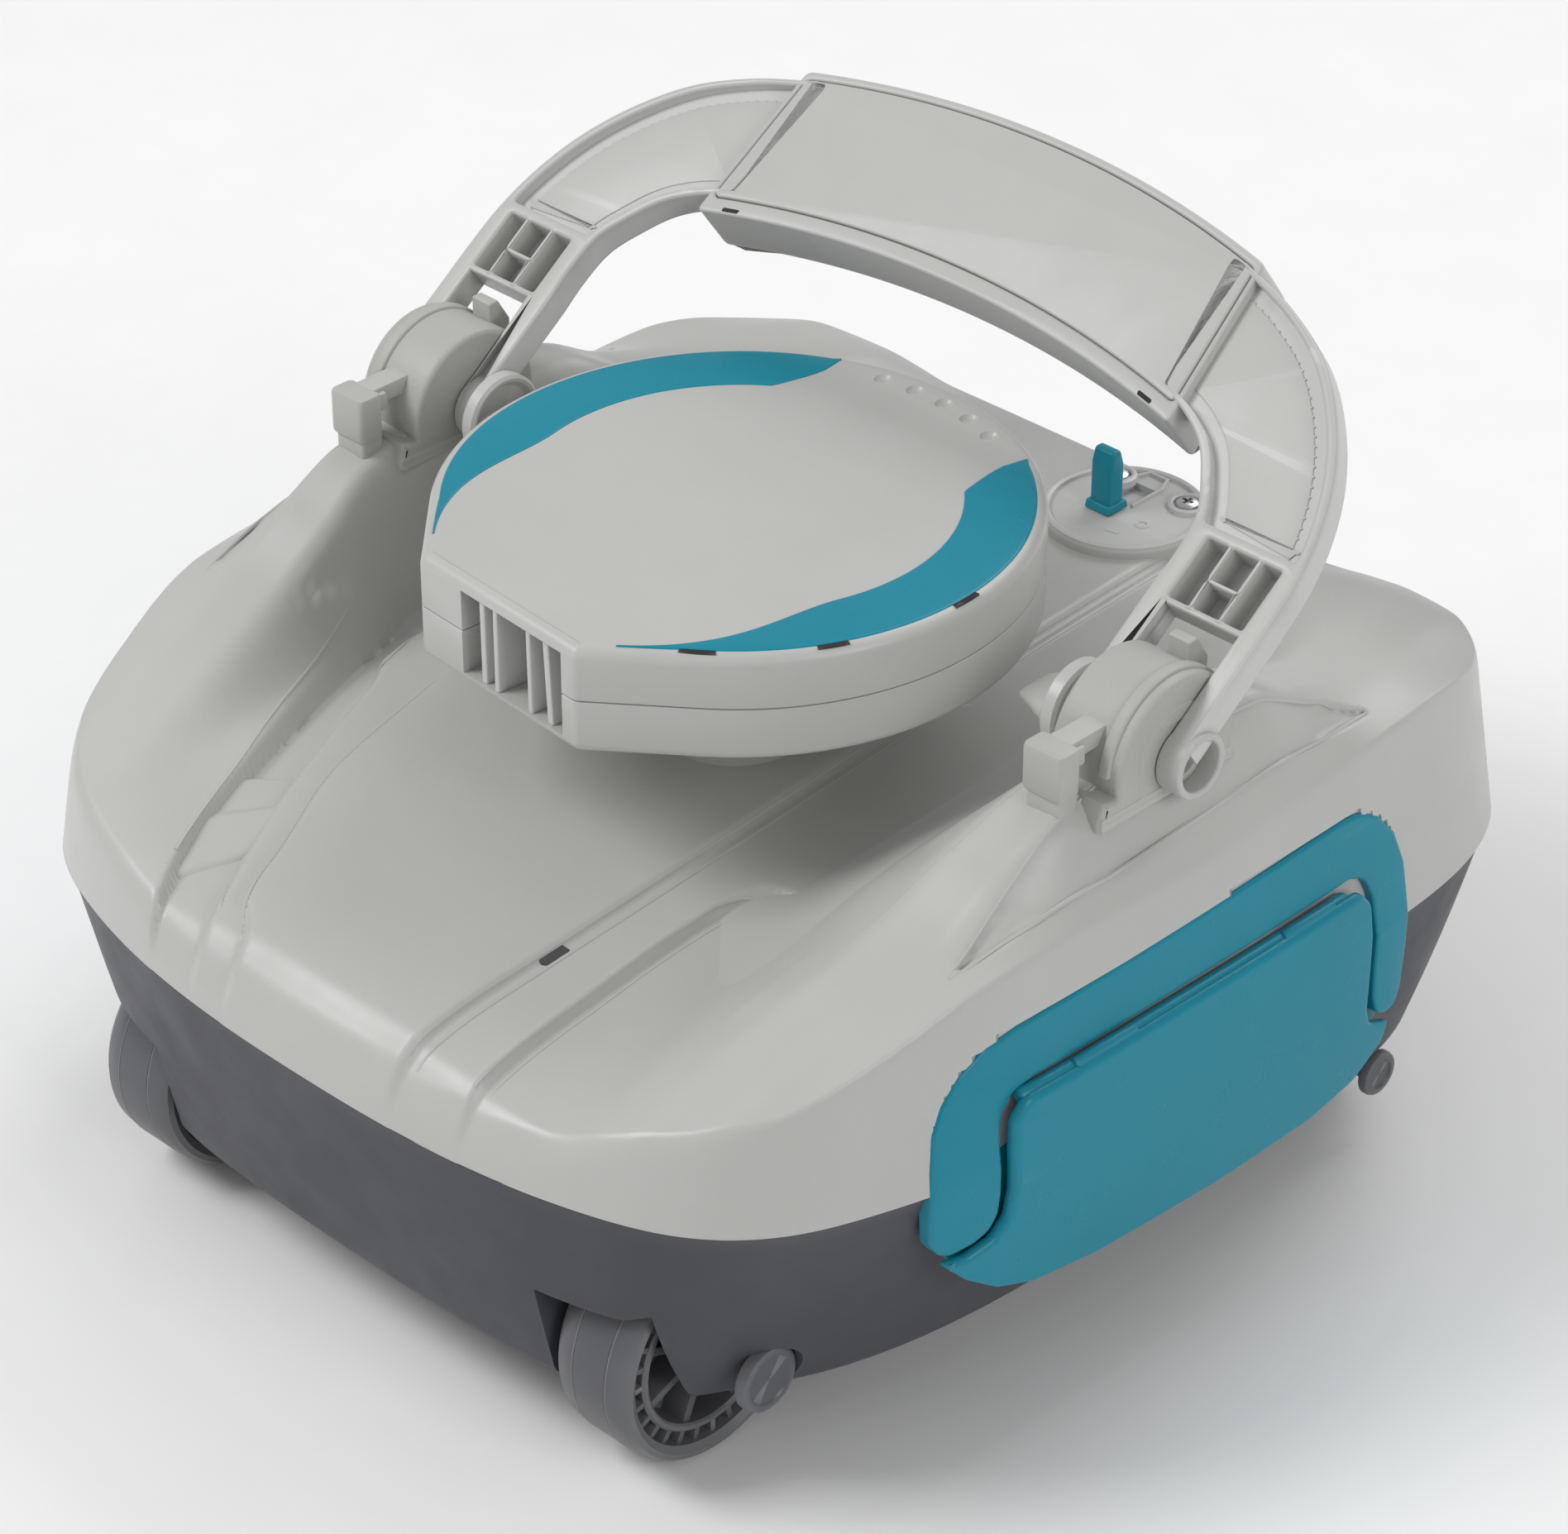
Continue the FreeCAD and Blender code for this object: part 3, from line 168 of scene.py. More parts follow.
def inward(points):
    """Unit normals to the left of a closed run, which point inwards if it runs anticlockwise."""
    p = np.array(points, float)
    e = np.roll(p, -1, 0) - p
    e /= np.maximum(np.linalg.norm(e, axis=1), 1e-9)[:, None]
    n = np.stack([-e[:, 1], e[:, 0]], 1)
    before = np.roll(n, 1, 0)
    return (n + before) / np.maximum(1 + (n * before).sum(1), 0.35)[:, None]


def arc(cx, cy, r, a0, a1, count):
    """Points on an arc, angles in degrees from +X."""
    angles = np.radians(np.linspace(a0, a1, count))
    return [(cx + r * math.cos(a), cy + r * math.sin(a)) for a in angles]


def circle(r, count):
    """Evenly spaced points on a circle about the origin."""
    return arc(0, 0, r, 0, 360, count + 1)[:-1]


def rounded(points, r, count=6):
    """A polygon with its corners rounded to radius r, or to a radius for each corner."""
    out = []
    n = len(points)
    radii = [r] * n if isinstance(r, (int, float)) else r
    for i in range(n):
        a, b, c = (Vector(points[(i + k) % n]) for k in (-1, 0, 1))
        u, v = (a - b), (c - b)
        turn = u.angle(v)
        reach = min(radii[i] / math.tan(turn / 2), 0.48 * u.length, 0.48 * v.length)
        if radii[i] < 0.01 or turn > math.pi - 0.01:
            out.append(tuple(b))
            continue
        p, q = b + u.normalized() * reach, b + v.normalized() * reach
        for k in range(count + 1):
            t = k / count
            out.append(tuple((1 - t) ** 2 * p + 2 * t * (1 - t) * b + t * t * q))
    return out


def arc3(a, b, c, count):
    """Points on the arc through three points."""
    (ax, ay), (bx, by), (cx, cy) = a, b, c
    d = 2 * (ax * (by - cy) + bx * (cy - ay) + cx * (ay - by))
    sa, sb, sc = ax * ax + ay * ay, bx * bx + by * by, cx * cx + cy * cy
    ox = (sa * (by - cy) + sb * (cy - ay) + sc * (ay - by)) / d
    oy = (sa * (cx - bx) + sb * (ax - cx) + sc * (bx - ax)) / d
    r = math.hypot(ax - ox, ay - oy)
    a0, a1 = (math.degrees(math.atan2(p[1] - oy, p[0] - ox)) for p in (a, c))
    return arc(ox, oy, r, a0, a1, count)


def smooth_run(points, count):
    """Points on an open smooth curve through some points."""
    p = np.array(points, float)
    run = lengths(p)
    at = np.linspace(0, run[-1], count)
    m = np.gradient(p, run, axis=0)
    i = np.clip(np.searchsorted(run, at, side="right") - 1, 0, len(p) - 2)
    h = np.diff(run)[i][:, None]
    t = ((at - run[i])[:, None]) / h
    a = (1 + 2 * t) * (1 - t) ** 2 * p[i] + t * t * (3 - 2 * t) * p[i + 1]
    return [tuple(q) for q in a + h * (t * (1 - t) ** 2 * m[i] + t * t * (t - 1) * m[i + 1])]


# ---------------------------------------------------------------- mesh makers
# Each gives (points, faces) in millimetres, so that parts can be joined before they become an object.

def joined(*parts):
    """Several parts as one."""
    points, faces, base = [], [], 0
    for p, f in parts:
        points.append(np.array(p, float).reshape(-1, 3))
        faces += [tuple(i + base for i in face) for face in f]
        base += len(p)
    return np.vstack(points), faces


def moved(part, place):
    """A part with each point (a, b, c) sent to place(a, b, c)."""
    p, faces = part
    return np.stack(place(*np.array(p, float).T), 1), faces


def flipped(part):
    """The left-hand twin of a right-hand part."""
    p, faces = part
    return np.array(p, float) * [-1, 1, 1], [f[::-1] for f in faces]


def twins(part):
    """A right-hand part and its left-hand twin."""
    return joined(part, flipped(part))


def plate(outline, low, high, rim_low=0.0, rim_high=0.0, holes=(), steps=3):
    """Flat plate from an outline, with rounded rims. A rim is a radius or one radius per point."""
    loops = []
    for k, loop in enumerate([outline, *holes]):
        p = np.array(loop, float)
        loops.append(p if turns_left(p) == (k == 0) else p[::-1])
    if np.ndim(rim_high) and np.ndim(outline) and not np.array_equal(loops[0], np.array(outline, float)):
        rim_high = np.array(rim_high)[::-1]
    sizes = [len(p) for p in loops]
    flat = np.vstack(loops)
    normal = np.vstack([inward(p) for p in loops])
    total = len(flat)
    turns = [math.pi / 2 * k / steps for k in range(steps + 1)]
    rings = []
    for rim, end, way in ((rim_low, low, 1), (rim_high, high, -1)):
        r = np.zeros(total) + (np.pad(rim, (0, total - len(rim)), mode="edge") if np.ndim(rim) else rim)
        some = turns if np.max(r) > 0 else turns[-1:]
        part = []
        for t in some:
            inset = r * (1 - math.sin(t))
            part.append(np.column_stack([flat + normal * inset[:, None], end + way * r * (1 - math.cos(t))]))
        rings += part if way > 0 else part[::-1]
    points = np.vstack(rings)
    faces = []
    start = 0
    for size in sizes:
        for k in range(len(rings) - 1):
            for i in range(size):
                j = (i + 1) % size
                a, b = k * total + start + i, k * total + start + j
                faces.append((a, b, b + total, a + total))
        start += size
    ends = np.split(rings[-1][:, :2], np.cumsum(sizes)[:-1])
    caps = tessellate_polygon([[Vector((x, y, 0)) for x, y in loop] for loop in ends])
    top = (len(rings) - 1) * total
    for tri in caps:
        a, b, c = (rings[-1][i, :2] for i in tri)
        turned = (b[0] - a[0]) * (c[1] - a[1]) - (b[1] - a[1]) * (c[0] - a[0]) > 0
        tri = tuple(tri) if turned else tuple(tri[::-1])
        faces.append(tuple(top + i for i in tri))
        faces.append(tuple(tri[::-1]))
    return points, faces


def lathe(profile, count=64, closed=True):
    """Ring or disc from a closed (radius, height) profile, turned about the third axis."""
    n = len(profile)
    profile = profile if turns_left(profile) else profile[::-1]
    points = []
    for k in range(count):
        a = 2 * math.pi * k / count
        points += [(r * math.cos(a), r * math.sin(a), h) for r, h in profile]
    faces = []
    for k in range(count):
        m = (k + 1) % count
        for i in range(n if closed else n - 1):
            j = (i + 1) % n
            faces.append((k * n + i, m * n + i, m * n + j, k * n + j))
    if not closed:
        faces.append(tuple(k * n for k in range(count))[::-1])
        faces.append(tuple(k * n + n - 1 for k in range(count)))
    return np.array(points), faces


def disc(r, low, high, rim_low=0.0, rim_high=0.0, count=48, bore=0.0):
    """Round plate with rounded rims and, if asked, a bore."""
    holes = [circle(bore, count)] if bore else []
    return plate(circle(r, count), low, high, rim_low, rim_high, holes)


def box(x0, x1, y0, y1):
    """Corners of a box."""
    return [(x0, y0), (x1, y0), (x1, y1), (x0, y1)]


def block(x0, x1, y0, y1, z0, z1, rim=0.6, corner=1.0):
    """Box with rounded upright corners and rims."""
    return plate(rounded(box(x0, x1, y0, y1), corner, 4), z0, z1, rim, rim, steps=2)


def shifted(part, dx, dy, dz=0.0):
    """A part moved as it is."""
    return moved(part, lambda x, y, z: (x + dx, y + dy, z + dz))


def along_x(part):
    """Turns a part drawn in (y, z) with its thickness along X into place."""
    return moved(part, lambda a, b, c: (c, a, b))


def along_x_at(part, y, z):
    """Turns a round part about an axis along X at (y, z)."""
    return moved(part, lambda a, b, c: (c, a + y, b + z))


def in_handle(part):
    """Turns a part drawn in the handle's plane (x, v) with thickness w into place."""
    ca, sa = math.cos(HANDLE_ANGLE), math.sin(HANDLE_ANGLE)
    return moved(part, lambda x, v, w: (x, PIVOT_Y + v * ca - w * sa, PIVOT_Z + v * sa + w * ca))


def turned(part, angle):
    """A part turned about the third axis."""
    c, s = math.cos(angle), math.sin(angle)
    return moved(part, lambda x, y, z: (x * c - y * s, x * s + y * c, z))


def in_drum(part):
    """Turns a part drawn about the drum's axis into place."""
    return shifted(turned(part, DRUM_YAW), 0, DRUM_Y)


def placed(name, data):
    """A new object of the scene."""
    obj = bpy.data.objects.new(name, data)
    bpy.context.scene.collection.objects.link(obj)
    return obj


def mesh_of(name, part, angle=SHARP):
    """Blender mesh in metres from a part, smooth except at sharp edges."""
    points, faces = part
    mesh = bpy.data.meshes.new(name)
    mesh.from_pydata((np.array(points, float) * MM).tolist(), [], faces)
    mesh.validate()
    return smoothed(mesh, angle)


def smoothed(mesh, angle):
    """A mesh shaded smooth, except at edges sharper than an angle in degrees."""
    mesh.polygons.foreach_set("use_smooth", [True] * len(mesh.polygons))
    mesh.set_sharp_from_angle(angle=math.radians(angle))
    return mesh


def piece(name, part, body, slot, replaces=(), look=None, angle=SHARP):
    """Shown piece: rides on a body, may stand for CAD nodes, and has its slot's material or another look."""
    mesh = part if isinstance(part, bpy.types.Mesh) else mesh_of(name, part, angle)
    mesh.materials.clear()
    mesh.materials.append(MATERIALS[look or slot])
    obj = placed(name, mesh)
    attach(obj, body)
    if replaces:
        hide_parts(*replaces)
    return obj


def cut(part, *cutters, angle=SHARP):
    """Mesh of a part with others cut out of it."""
    base = placed("cut_base", mesh_of("cut_base", part, angle))
    tools = []
    for k, cutter in enumerate(cutters):
        tool = placed("cut_tool", mesh_of("cut_tool", cutter))
        tool.hide_render = True
        tools.append(tool)
        m = base.modifiers.new(f"cut_{k}", "BOOLEAN")
        m.operation = "DIFFERENCE"
        m.solver = "EXACT"
        m.object = tool
    bpy.context.view_layer.update()
    mesh = bpy.data.meshes.new_from_object(base.evaluated_get(bpy.context.evaluated_depsgraph_get()))
    for o in [base, *tools]:
        bpy.data.objects.remove(o)
    return smoothed(mesh, angle)


def points_of(mesh):
    """A mesh back as a part in millimetres."""
    co = np.zeros(len(mesh.vertices) * 3)
    mesh.vertices.foreach_get("co", co)
    return co.reshape(-1, 3) / MM, [tuple(p.vertices) for p in mesh.polygons]


# ---------------------------------------------------------------- materials

def tune(node, **values):
    """Sets a node's inputs, each named in lower case with _ for a space."""
    for socket in node.inputs:
        value = values.get(socket.name.lower().replace(" ", "_"))
        if value is not None:
            socket.default_value = value
    return node


def plastic(name, colour, rough, grain, bump, tint=0.05, edge_wear_and_highlight=0.12, specular=0.4, coat=0.0):
    """Moulded plastic: fine grain, faint mottling, uneven gloss and paler sharp edges, partly wear and partly
    a painted highlight.
    """
    mat = bpy.data.materials.new(name)
    mat.use_nodes = True
    nodes, links = mat.node_tree.nodes, mat.node_tree.links
    shader = nodes["Principled BSDF"]
    tune(shader, specular_ior_level=specular, coat_weight=coat, coat_roughness=0.15)
    where = nodes.new("ShaderNodeTexCoord")

    def noise(scale, detail):
        n = tune(nodes.new("ShaderNodeTexNoise"), scale=scale, detail=detail)
        links.new(where.outputs["Object"], n.inputs["Vector"])
        return n.outputs["Fac"]

    def ranged(source, a, b, c, d):
        n = nodes.new("ShaderNodeMapRange")
        for socket, value in (("From Min", a), ("From Max", b), ("To Min", c), ("To Max", d)):
            n.inputs[socket].default_value = value
        links.new(source, n.inputs["Value"])
        return n.outputs["Result"]

    def mixed(fac, a, b):
        n = nodes.new("ShaderNodeMix")
        n.data_type = "RGBA"
        links.new(fac, n.inputs["Factor"])
        for socket, value in ((n.inputs["A"], a), (n.inputs["B"], b)):
            if isinstance(value, tuple):
                socket.default_value = value
            else:
                links.new(value, socket)
        return n.outputs["Result"]

    dark = tuple(c * (1 - tint) for c in colour) + (1,)
    light = tuple(min(1, c * (1 + tint)) for c in colour) + (1,)
    worn_and_highlit = tuple(min(1, c + edge_wear_and_highlight * (0.6 - c * 0.5)) for c in colour) + (1,)
    mottled = mixed(ranged(noise(22, 4), 0.3, 0.7, 0, 1), dark, light)
    speck = mixed(ranged(noise(grain * 0.6, 2), 0.35, 0.75, 0, 0.5), mottled, dark)
    edges = nodes.new("ShaderNodeNewGeometry").outputs["Pointiness"]
    # Sharp edges found by pointiness are paled: partly edge wear, partly a painted highlight standing in for
    # glints of light along crisp edges.
    links.new(mixed(ranged(edges, 0.52, 0.60, 0, 0.8), speck, worn_and_highlit), shader.inputs["Base Color"])
    links.new(ranged(noise(70, 5), 0.3, 0.7, rough - 0.05, rough + 0.06), shader.inputs["Roughness"])
    fine = tune(nodes.new("ShaderNodeBump"), strength=bump, distance=0.00025)
    links.new(noise(grain, 3), fine.inputs["Height"])
    waves = tune(nodes.new("ShaderNodeBump"), strength=0.12, distance=0.0006)
    links.new(noise(38, 1), waves.inputs["Height"])
    links.new(fine.outputs["Normal"], waves.inputs["Normal"])
    links.new(waves.outputs["Normal"], shader.inputs["Normal"])
    return mat


def metal(name, colour, rough):
    """Bright turned steel with a fine grain."""
    mat = plastic(name, colour, rough, 900, 0.1, tint=0.08, edge_wear_and_highlight=0.3)
    tune(mat.node_tree.nodes["Principled BSDF"], metallic=1.0)
    return mat


# Colour, roughness, grain and bump of each plastic, with what else sets it apart
LOOKS = {
    # shell_grey's strong edge paling is mostly a painted highlight, making the crisp deck and ridge lines
    # read as bright glints.
    "shell_grey": ((0.49, 0.49, 0.475), 0.34, 2600, 0.10, dict(tint=0.025, edge_wear_and_highlight=0.3)),
    "hub_grey": ((0.43, 0.43, 0.41), 0.50, 1500, 0.35, dict(tint=0.05)),
    "base_grey": ((0.064, 0.066, 0.077), 0.46, 2200, 0.12, dict(tint=0.06, edge_wear_and_highlight=0.06, specular=0.3)),
    "wheel_grey": ((0.095, 0.097, 0.108), 0.34, 1800, 0.15, dict(tint=0.08, edge_wear_and_highlight=0.2, specular=0.5)),
    "accent_teal": ((0.0085, 0.235, 0.325), 0.30, 2400, 0.06,
                    dict(tint=0.04, edge_wear_and_highlight=0.03, specular=0.22, coat=0.06)),
    "mesh": ((0.62, 0.62, 0.60), 0.7, 1100, 0.8, {}),
    "seal_rubber": ((0.03, 0.03, 0.03), 0.6, 1400, 0.3, {}),
    "battery_wrap": ((0.05, 0.06, 0.09), 0.3, 900, 0.1, {}),
    "circuit_green": ((0.02, 0.15, 0.05), 0.3, 700, 0.2, dict(tint=0.3)),
    # Near-black painted shade, put on flush inlays where slots and openings would lie in shadow.
    "gap_dark": ((0.012, 0.012, 0.014), 0.7, 1500, 0.2, {}),
}
MATERIALS = {name: plastic(name, *look, **more) for name, (*look, more) in LOOKS.items()}
MATERIALS["steel"] = metal("steel", (0.62, 0.62, 0.63), 0.28)


def dress_cad():
    """Gives every CAD node the material of its slot."""
    for row in frame["record"]["subparts"]:
        node = frame["nodes"][row["node"]]
        if not node.material_slots:
            node.data.materials.append(None)
        for s in node.material_slots:
            s.material = MATERIALS[row["material_slot"]]


# ---------------------------------------------------------------- top housing

DECK = [(-180, 104), (-172, 110), (-166, 114.6), (-157.6, 120.6), (-140, 123.4), (-116.5, 124.8),
        (-2.2, 132.5), (90, 139.3), (140, 141), (163, 141), (172, 139), (180, 136)]
PLATEAU_DROP = [(-175, 4.6), (-150, 3.2), (-100, 2.6), (0, 2.4), (175, 2.2)]
PLATEAU_RIGHT = 35.0
SECOND_RIGHT = [(-175, 60), (-159, 58), (-120, 55), (-76.5, 53.5), (-60, 55)]
THIRD_END_Y = -52.0
TERRACE_DROP = 3.3
PLATEAU_LEFT = [(-175, 28), (-158, 34), (-150, 44), (-131, 52.5), (-94, 70), (-62, 77), (-44, 80), (0, 82)]
SECOND_LEFT = [(-175, 42), (-152, 52), (-115, 72), (-77, 88), (-55, 97), (-48, 102), (-28, 104), (0, 106)]

# Shoulder and ridge of each side: (x, z) of foot, top of foot wall, inner slope, inner top, outer top, crease
RIDGE_RIGHT = [
    (-176, (88, 99), (92, 101), (99, 103), (108, 105), (122, 105), (146, 99)),
    (-160, (86, 112.5), (90, 114), (97, 116.5), (108, 119), (124, 119), (148, 113)),
    (-146, (82, 116), (87, 118), (95, 121), (108, 124.5), (126, 125), (149, 119)),
    (-110, (76, 117.5), (82, 121), (91, 127.5), (110, 137), (130, 140), (152, 136)),
    (-73, (70, 118.5), (78, 124), (90, 134), (114, 149), (136, 152.5), (153.5, 149)),
    (-50, (68, 121), (77, 127), (91, 141), (117, 163), (138, 165), (154, 150)),
    (-28, (67, 123.5), (78, 130), (93, 146), (121, 173.5), (140, 175), (154, 150)),
    (8, (70, 131), (82, 136), (98, 150), (122, 178), (140, 178), (154, 151)),
    (46, (72, 136), (84, 140), (99, 151), (122, 178), (140, 177.5), (154, 153)),
    (70, (74, 138), (85, 141), (98, 149), (118, 167), (138, 167), (153.5, 154)),
    (104, (78, 140), (87, 142), (98, 147), (112, 155), (134, 157), (151, 155)),
    (150, (66, 140), (74, 143), (86, 146), (100, 149), (126, 150), (143, 146)),
    (176, (62, 133), (72, 134.5), (84, 136), (100, 138), (124, 138), (143, 133)),
]
RIDGE_LEFT = [
    (-176, (60, 98), (62, 103), (80, 104.5), (108, 105), (122, 105), (146, 99)),
    (-160, (66, 111), (68, 117), (84, 118.3), (108, 119), (124, 119), (148, 113)),
    (-146, (73, 115.5), (75.2, 121.5), (90, 123.3), (108, 125), (126, 125.5), (149, 119)),
    (-110, (87.5, 117.5), (90, 124.5), (100, 128.5), (112, 137), (130, 140), (152, 136)),
    (-73, (100, 119.5), (102.6, 127.5), (108, 133), (118, 149), (136, 152.5), (153.5, 149)),
    (-50, (106, 121), (108.6, 130), (112, 140), (120, 162), (138, 165), (154, 150)),
    (-28, (111, 123.5), (113.5, 133), (116, 146), (123, 173.5), (140, 175), (154, 150)),
    (8, (112, 131), (114, 138), (117, 152), (123, 178), (140, 178), (154, 151)),
] + RIDGE_RIGHT[8:]


# Crisp lines of the top, (x, y): sunk facet outside the ridge, ridge edge, and terrace edges
FACET_TOP = [(143.7, -76), (141.2, -60), (139.8, -46.4), (138.8, -32.4), (137.4, -15.7), (138, 10),
             (140.3, 54), (141.2, 75), (145.7, 87)]
FACET_LOW = [(143.9, -76), (146.0, -62), (147.8, -48.6), (149.6, -18.9), (149.5, 14.1), (149.2, 47.7),
             (146.1, 87)]
RIDGE_EDGE = [(109.5, -76), (110.9, -71), (114.1, -60.4), (117.4, -50), (120.3, -37.7), (121, -22.5)]
CHANNEL = ([(35, -164), (35, 0), (35, 100), (35, 137)], [(39, -163.6), (39, 0), (39, 100), (39, 137)])
SECOND_EDGE = ([(57, -160), (54.6, -120), (53, -80), (53.6, -67), (56.4, -59), (62, -54.6), (70, -53.5)],
               [(60.6, -159.4), (58, -120), (56.6, -80), (57.2, -70), (59.4, -63.6), (63.6, -59.4),
                (69, -57.8)])
LEFT_EDGES = ([(-34, -161), (-42, -151), (-52, -131), (-70, -94), (-77, -62), (-80, -46)],
              [(-48, -156), (-54, -148), (-72, -115), (-88, -77), (-98, -54), (-104, -30)],
              [(-75, -148), (-82.2, -132.7), (-92, -110), (-101.1, -88.2), (-108, -66), (-113.2, -46.2)])


def ridge_height(u, y, stations, foot_slope):
    """Height of the shoulder and ridge at distance u from the middle, and where its stations lie."""
    count = len(stations[0]) - 1
    xs = [through(y, [(s[0], s[k + 1][0]) for s in stations]) for k in range(count)]
    zs = [through(y, [(s[0], s[k + 1][1]) for s in stations]) for k in range(count)]

    def line(at):
        z = zs[0] + foot_slope * (at - xs[0])
        for k in range(count - 1):
            t = (at - xs[k]) / (xs[k + 1] - xs[k])
            z = np.where(t > 0, zs[k] + (zs[k + 1] - zs[k]) * t, z)
        return z

    crisp = sum(line(u + d) for d in (-0.8, -0.4, 0, 0.4, 0.8)) / 5
    soft = sum(line(u + d) for d in (-3.4, -2.5, -1.6, -0.8, 0, 0.8, 1.6, 2.5, 3.4)) / 9
    far = step((u - xs[0]) / 8 - 0.4)
    return crisp + (soft - crisp) * far, xs


def deck_height(x, y):
    """Height of the terraced deck between the shoulders."""
    z = through(y, DECK)
    drop = through(y, PLATEAU_DROP)
    right = drop * step((x - PLATEAU_RIGHT + 1.6) / 3.6)
    across = x - through(y, SECOND_RIGHT)
    along = THIRD_END_Y - y
    within = soft_min(across, along, 14.0)
    right += TERRACE_DROP * step(within / 2.4 + 0.5)
    left = drop * step((-x - through(y, PLATEAU_LEFT) + 1.8) / 3.6)
    left += TERRACE_DROP * step((-x - through(y, SECOND_LEFT) + 1.5) / 3.0)
    rib = 0.5 * np.exp(-((x - PLATEAU_RIGHT - 3.2) / 0.9) ** 2)
    return z - np.where(x > 0, right, left * step((20 - y) / 40)) + rib * (x > 0)


def scoop(z, u, y, r, u0, u1):
    """Lowers a height to a half-round trough along X about the handle's pivot."""
    deep = PIVOT_Z - np.sqrt(np.maximum(r * r - (y - PIVOT_Y) ** 2, 0))
    inside = (np.abs(y - PIVOT_Y) < r) & (u > u0) & (u < u1)
    return np.where(inside, np.minimum(z, deep), z)


def top_height(x, y):
    """Height of the whole top, without its outside walls."""
    u = np.abs(x)
    deck = deck_height(x, y)
    right, _ = ridge_height(u, y, RIDGE_RIGHT, 0.5)
    left, xl = ridge_height(u, y, RIDGE_LEFT, 2.6)
    z = np.where(x > 0, soft_max(deck, right, 3.0), soft_max(deck, left, 1.0))
    facet_in, facet_out = (through(y, [(b, a) for a, b in line]) for line in (FACET_TOP, FACET_LOW))
    facet = np.minimum(u - facet_in, facet_out - u)
    z -= 1.6 * step(facet / 0.9 + 0.3) * (y > -76) * (y < 87)
    low_line = through(y, [(-80, 117.5), (-40, 112.5), (-8, 107.5)])
    inner = np.minimum(u - low_line, xl[3] - 1.6 - u)
    inner = np.minimum(inner, np.minimum(y + 79, -4 - y) * 0.5)
    z -= np.where(x < 0, 2.2 * step(inner / 1.0), 0)
    fin = np.minimum(u - 96, 111 - u) * 0.4
    z += 0.9 * step(fin) * step((y + 112) / 10) * step((-70 - y) / 30) * step((111 - u) / 14) * (x > 0)
    z = scoop(z, u, y, KNOB_SCOOP_R, 95, 115.2)
    return scoop(z, u, y, PIN_SCOOP_R, 96.6, 174)


ROUND = 1000
WALL_RINGS = 30
WALL_DEPTH = 10.0
DECK_RINGS = 98


def upper_shell():
    """Top housing: drafted walls, terraced deck, shoulders and ridges round the drum's hole."""
    outline = plan_curve(SEAM_PLAN, ROUND)
    centre = np.array([0, DRUM_Y])
    away = outline - centre
    reach = np.linalg.norm(away, axis=1)
    ray = -away / reach[:, None]
    cosine = (ray * inward(outline)).sum(1)
    span = reach - DECK_HOLE_R
    wall_run = WALL_DEPTH / cosine
    shares = [(WALL_DEPTH / cosine) * (k / WALL_RINGS) ** 1.6 for k in range(WALL_RINGS)]
    shares += [wall_run + (span - wall_run) * k / DECK_RINGS for k in range(DECK_RINGS + 1)]

    def surface(run, drop):
        p = outline + ray * run[:, None]
        return p, skin_height(*p.T, run * cosine) - drop

    rings = [surface(run, 0) for run in shares]
    rings[0][1][:] = SEAM_Z + SEAM_GAP
    seat = grown(rounded(BAND_OUTER, 6, 3), -SEAT_MARGIN)
    for p, z in rings:
        limit = on_housing(p[:, 1]) - SEAT_DEPTH - leaning(z)
        behind = inside(p[:, 1], z, seat) & (np.abs(p[:, 0]) > limit)
        p[:, 0] = np.where(behind, np.sign(p[:, 0]) * limit, p[:, 0])
    points = [np.column_stack([p, z]) for p, z in rings]
    under = [span, span * 0.7, span * 0.4, WALL_DEPTH / cosine + 4, 6 / cosine, 3 / cosine]
    for run in under:
        p, z = surface(run, WALL)
        points.append(np.column_stack([p, np.maximum(z, SEAM_Z + SEAM_GAP)]))
    points[-1][:, 2] = SEAM_Z + SEAM_GAP
    beads = []
    for line in (FACET_TOP, FACET_LOW):
        beads += [bead(line, outline, 0.55, 0.26), bead([(-x, y) for x, y in line], outline, 0.55, 0.26)]
    beads.append(bead(RIDGE_EDGE, outline, 0.5, 0.14))
    for line in (*CHANNEL, *SECOND_EDGE, *LEFT_EDGES):
        beads.append(bead(line, outline, 0.55, 0.28))
    return joined(ring_solid(points), *beads)


def channel_slot():
    """Drain slot in the deck's channel, drawn as a dark inlay of painted shade standing for the opening's
    shadow.
    """
    slot = rounded(box(35.6, 38.4, -117, -108), 0.6, 3)
    return moved(plate(slot, -1.0, 0.12), lambda x, y, z: (x, y, z + top_height(x, y)))


def skin_height(x, y, inset):
    """Height of the top housing's outside at a distance in from the seam line."""
    lip = np.where(y < 0, 7.0 * step((-y - 95) / 50), 8.0 * step((y - 110) / 45)) + 0.6
    g = np.sqrt(np.maximum(1 - np.clip(1 - inset / lip, 0, 1) ** 2, 0))
    low = SEAM_Z + SEAM_GAP
    high = low + (top_height(x, y) - low) * g
    return np.maximum(soft_min(low + WALL_SLOPE * inset, high, 5.0), low)


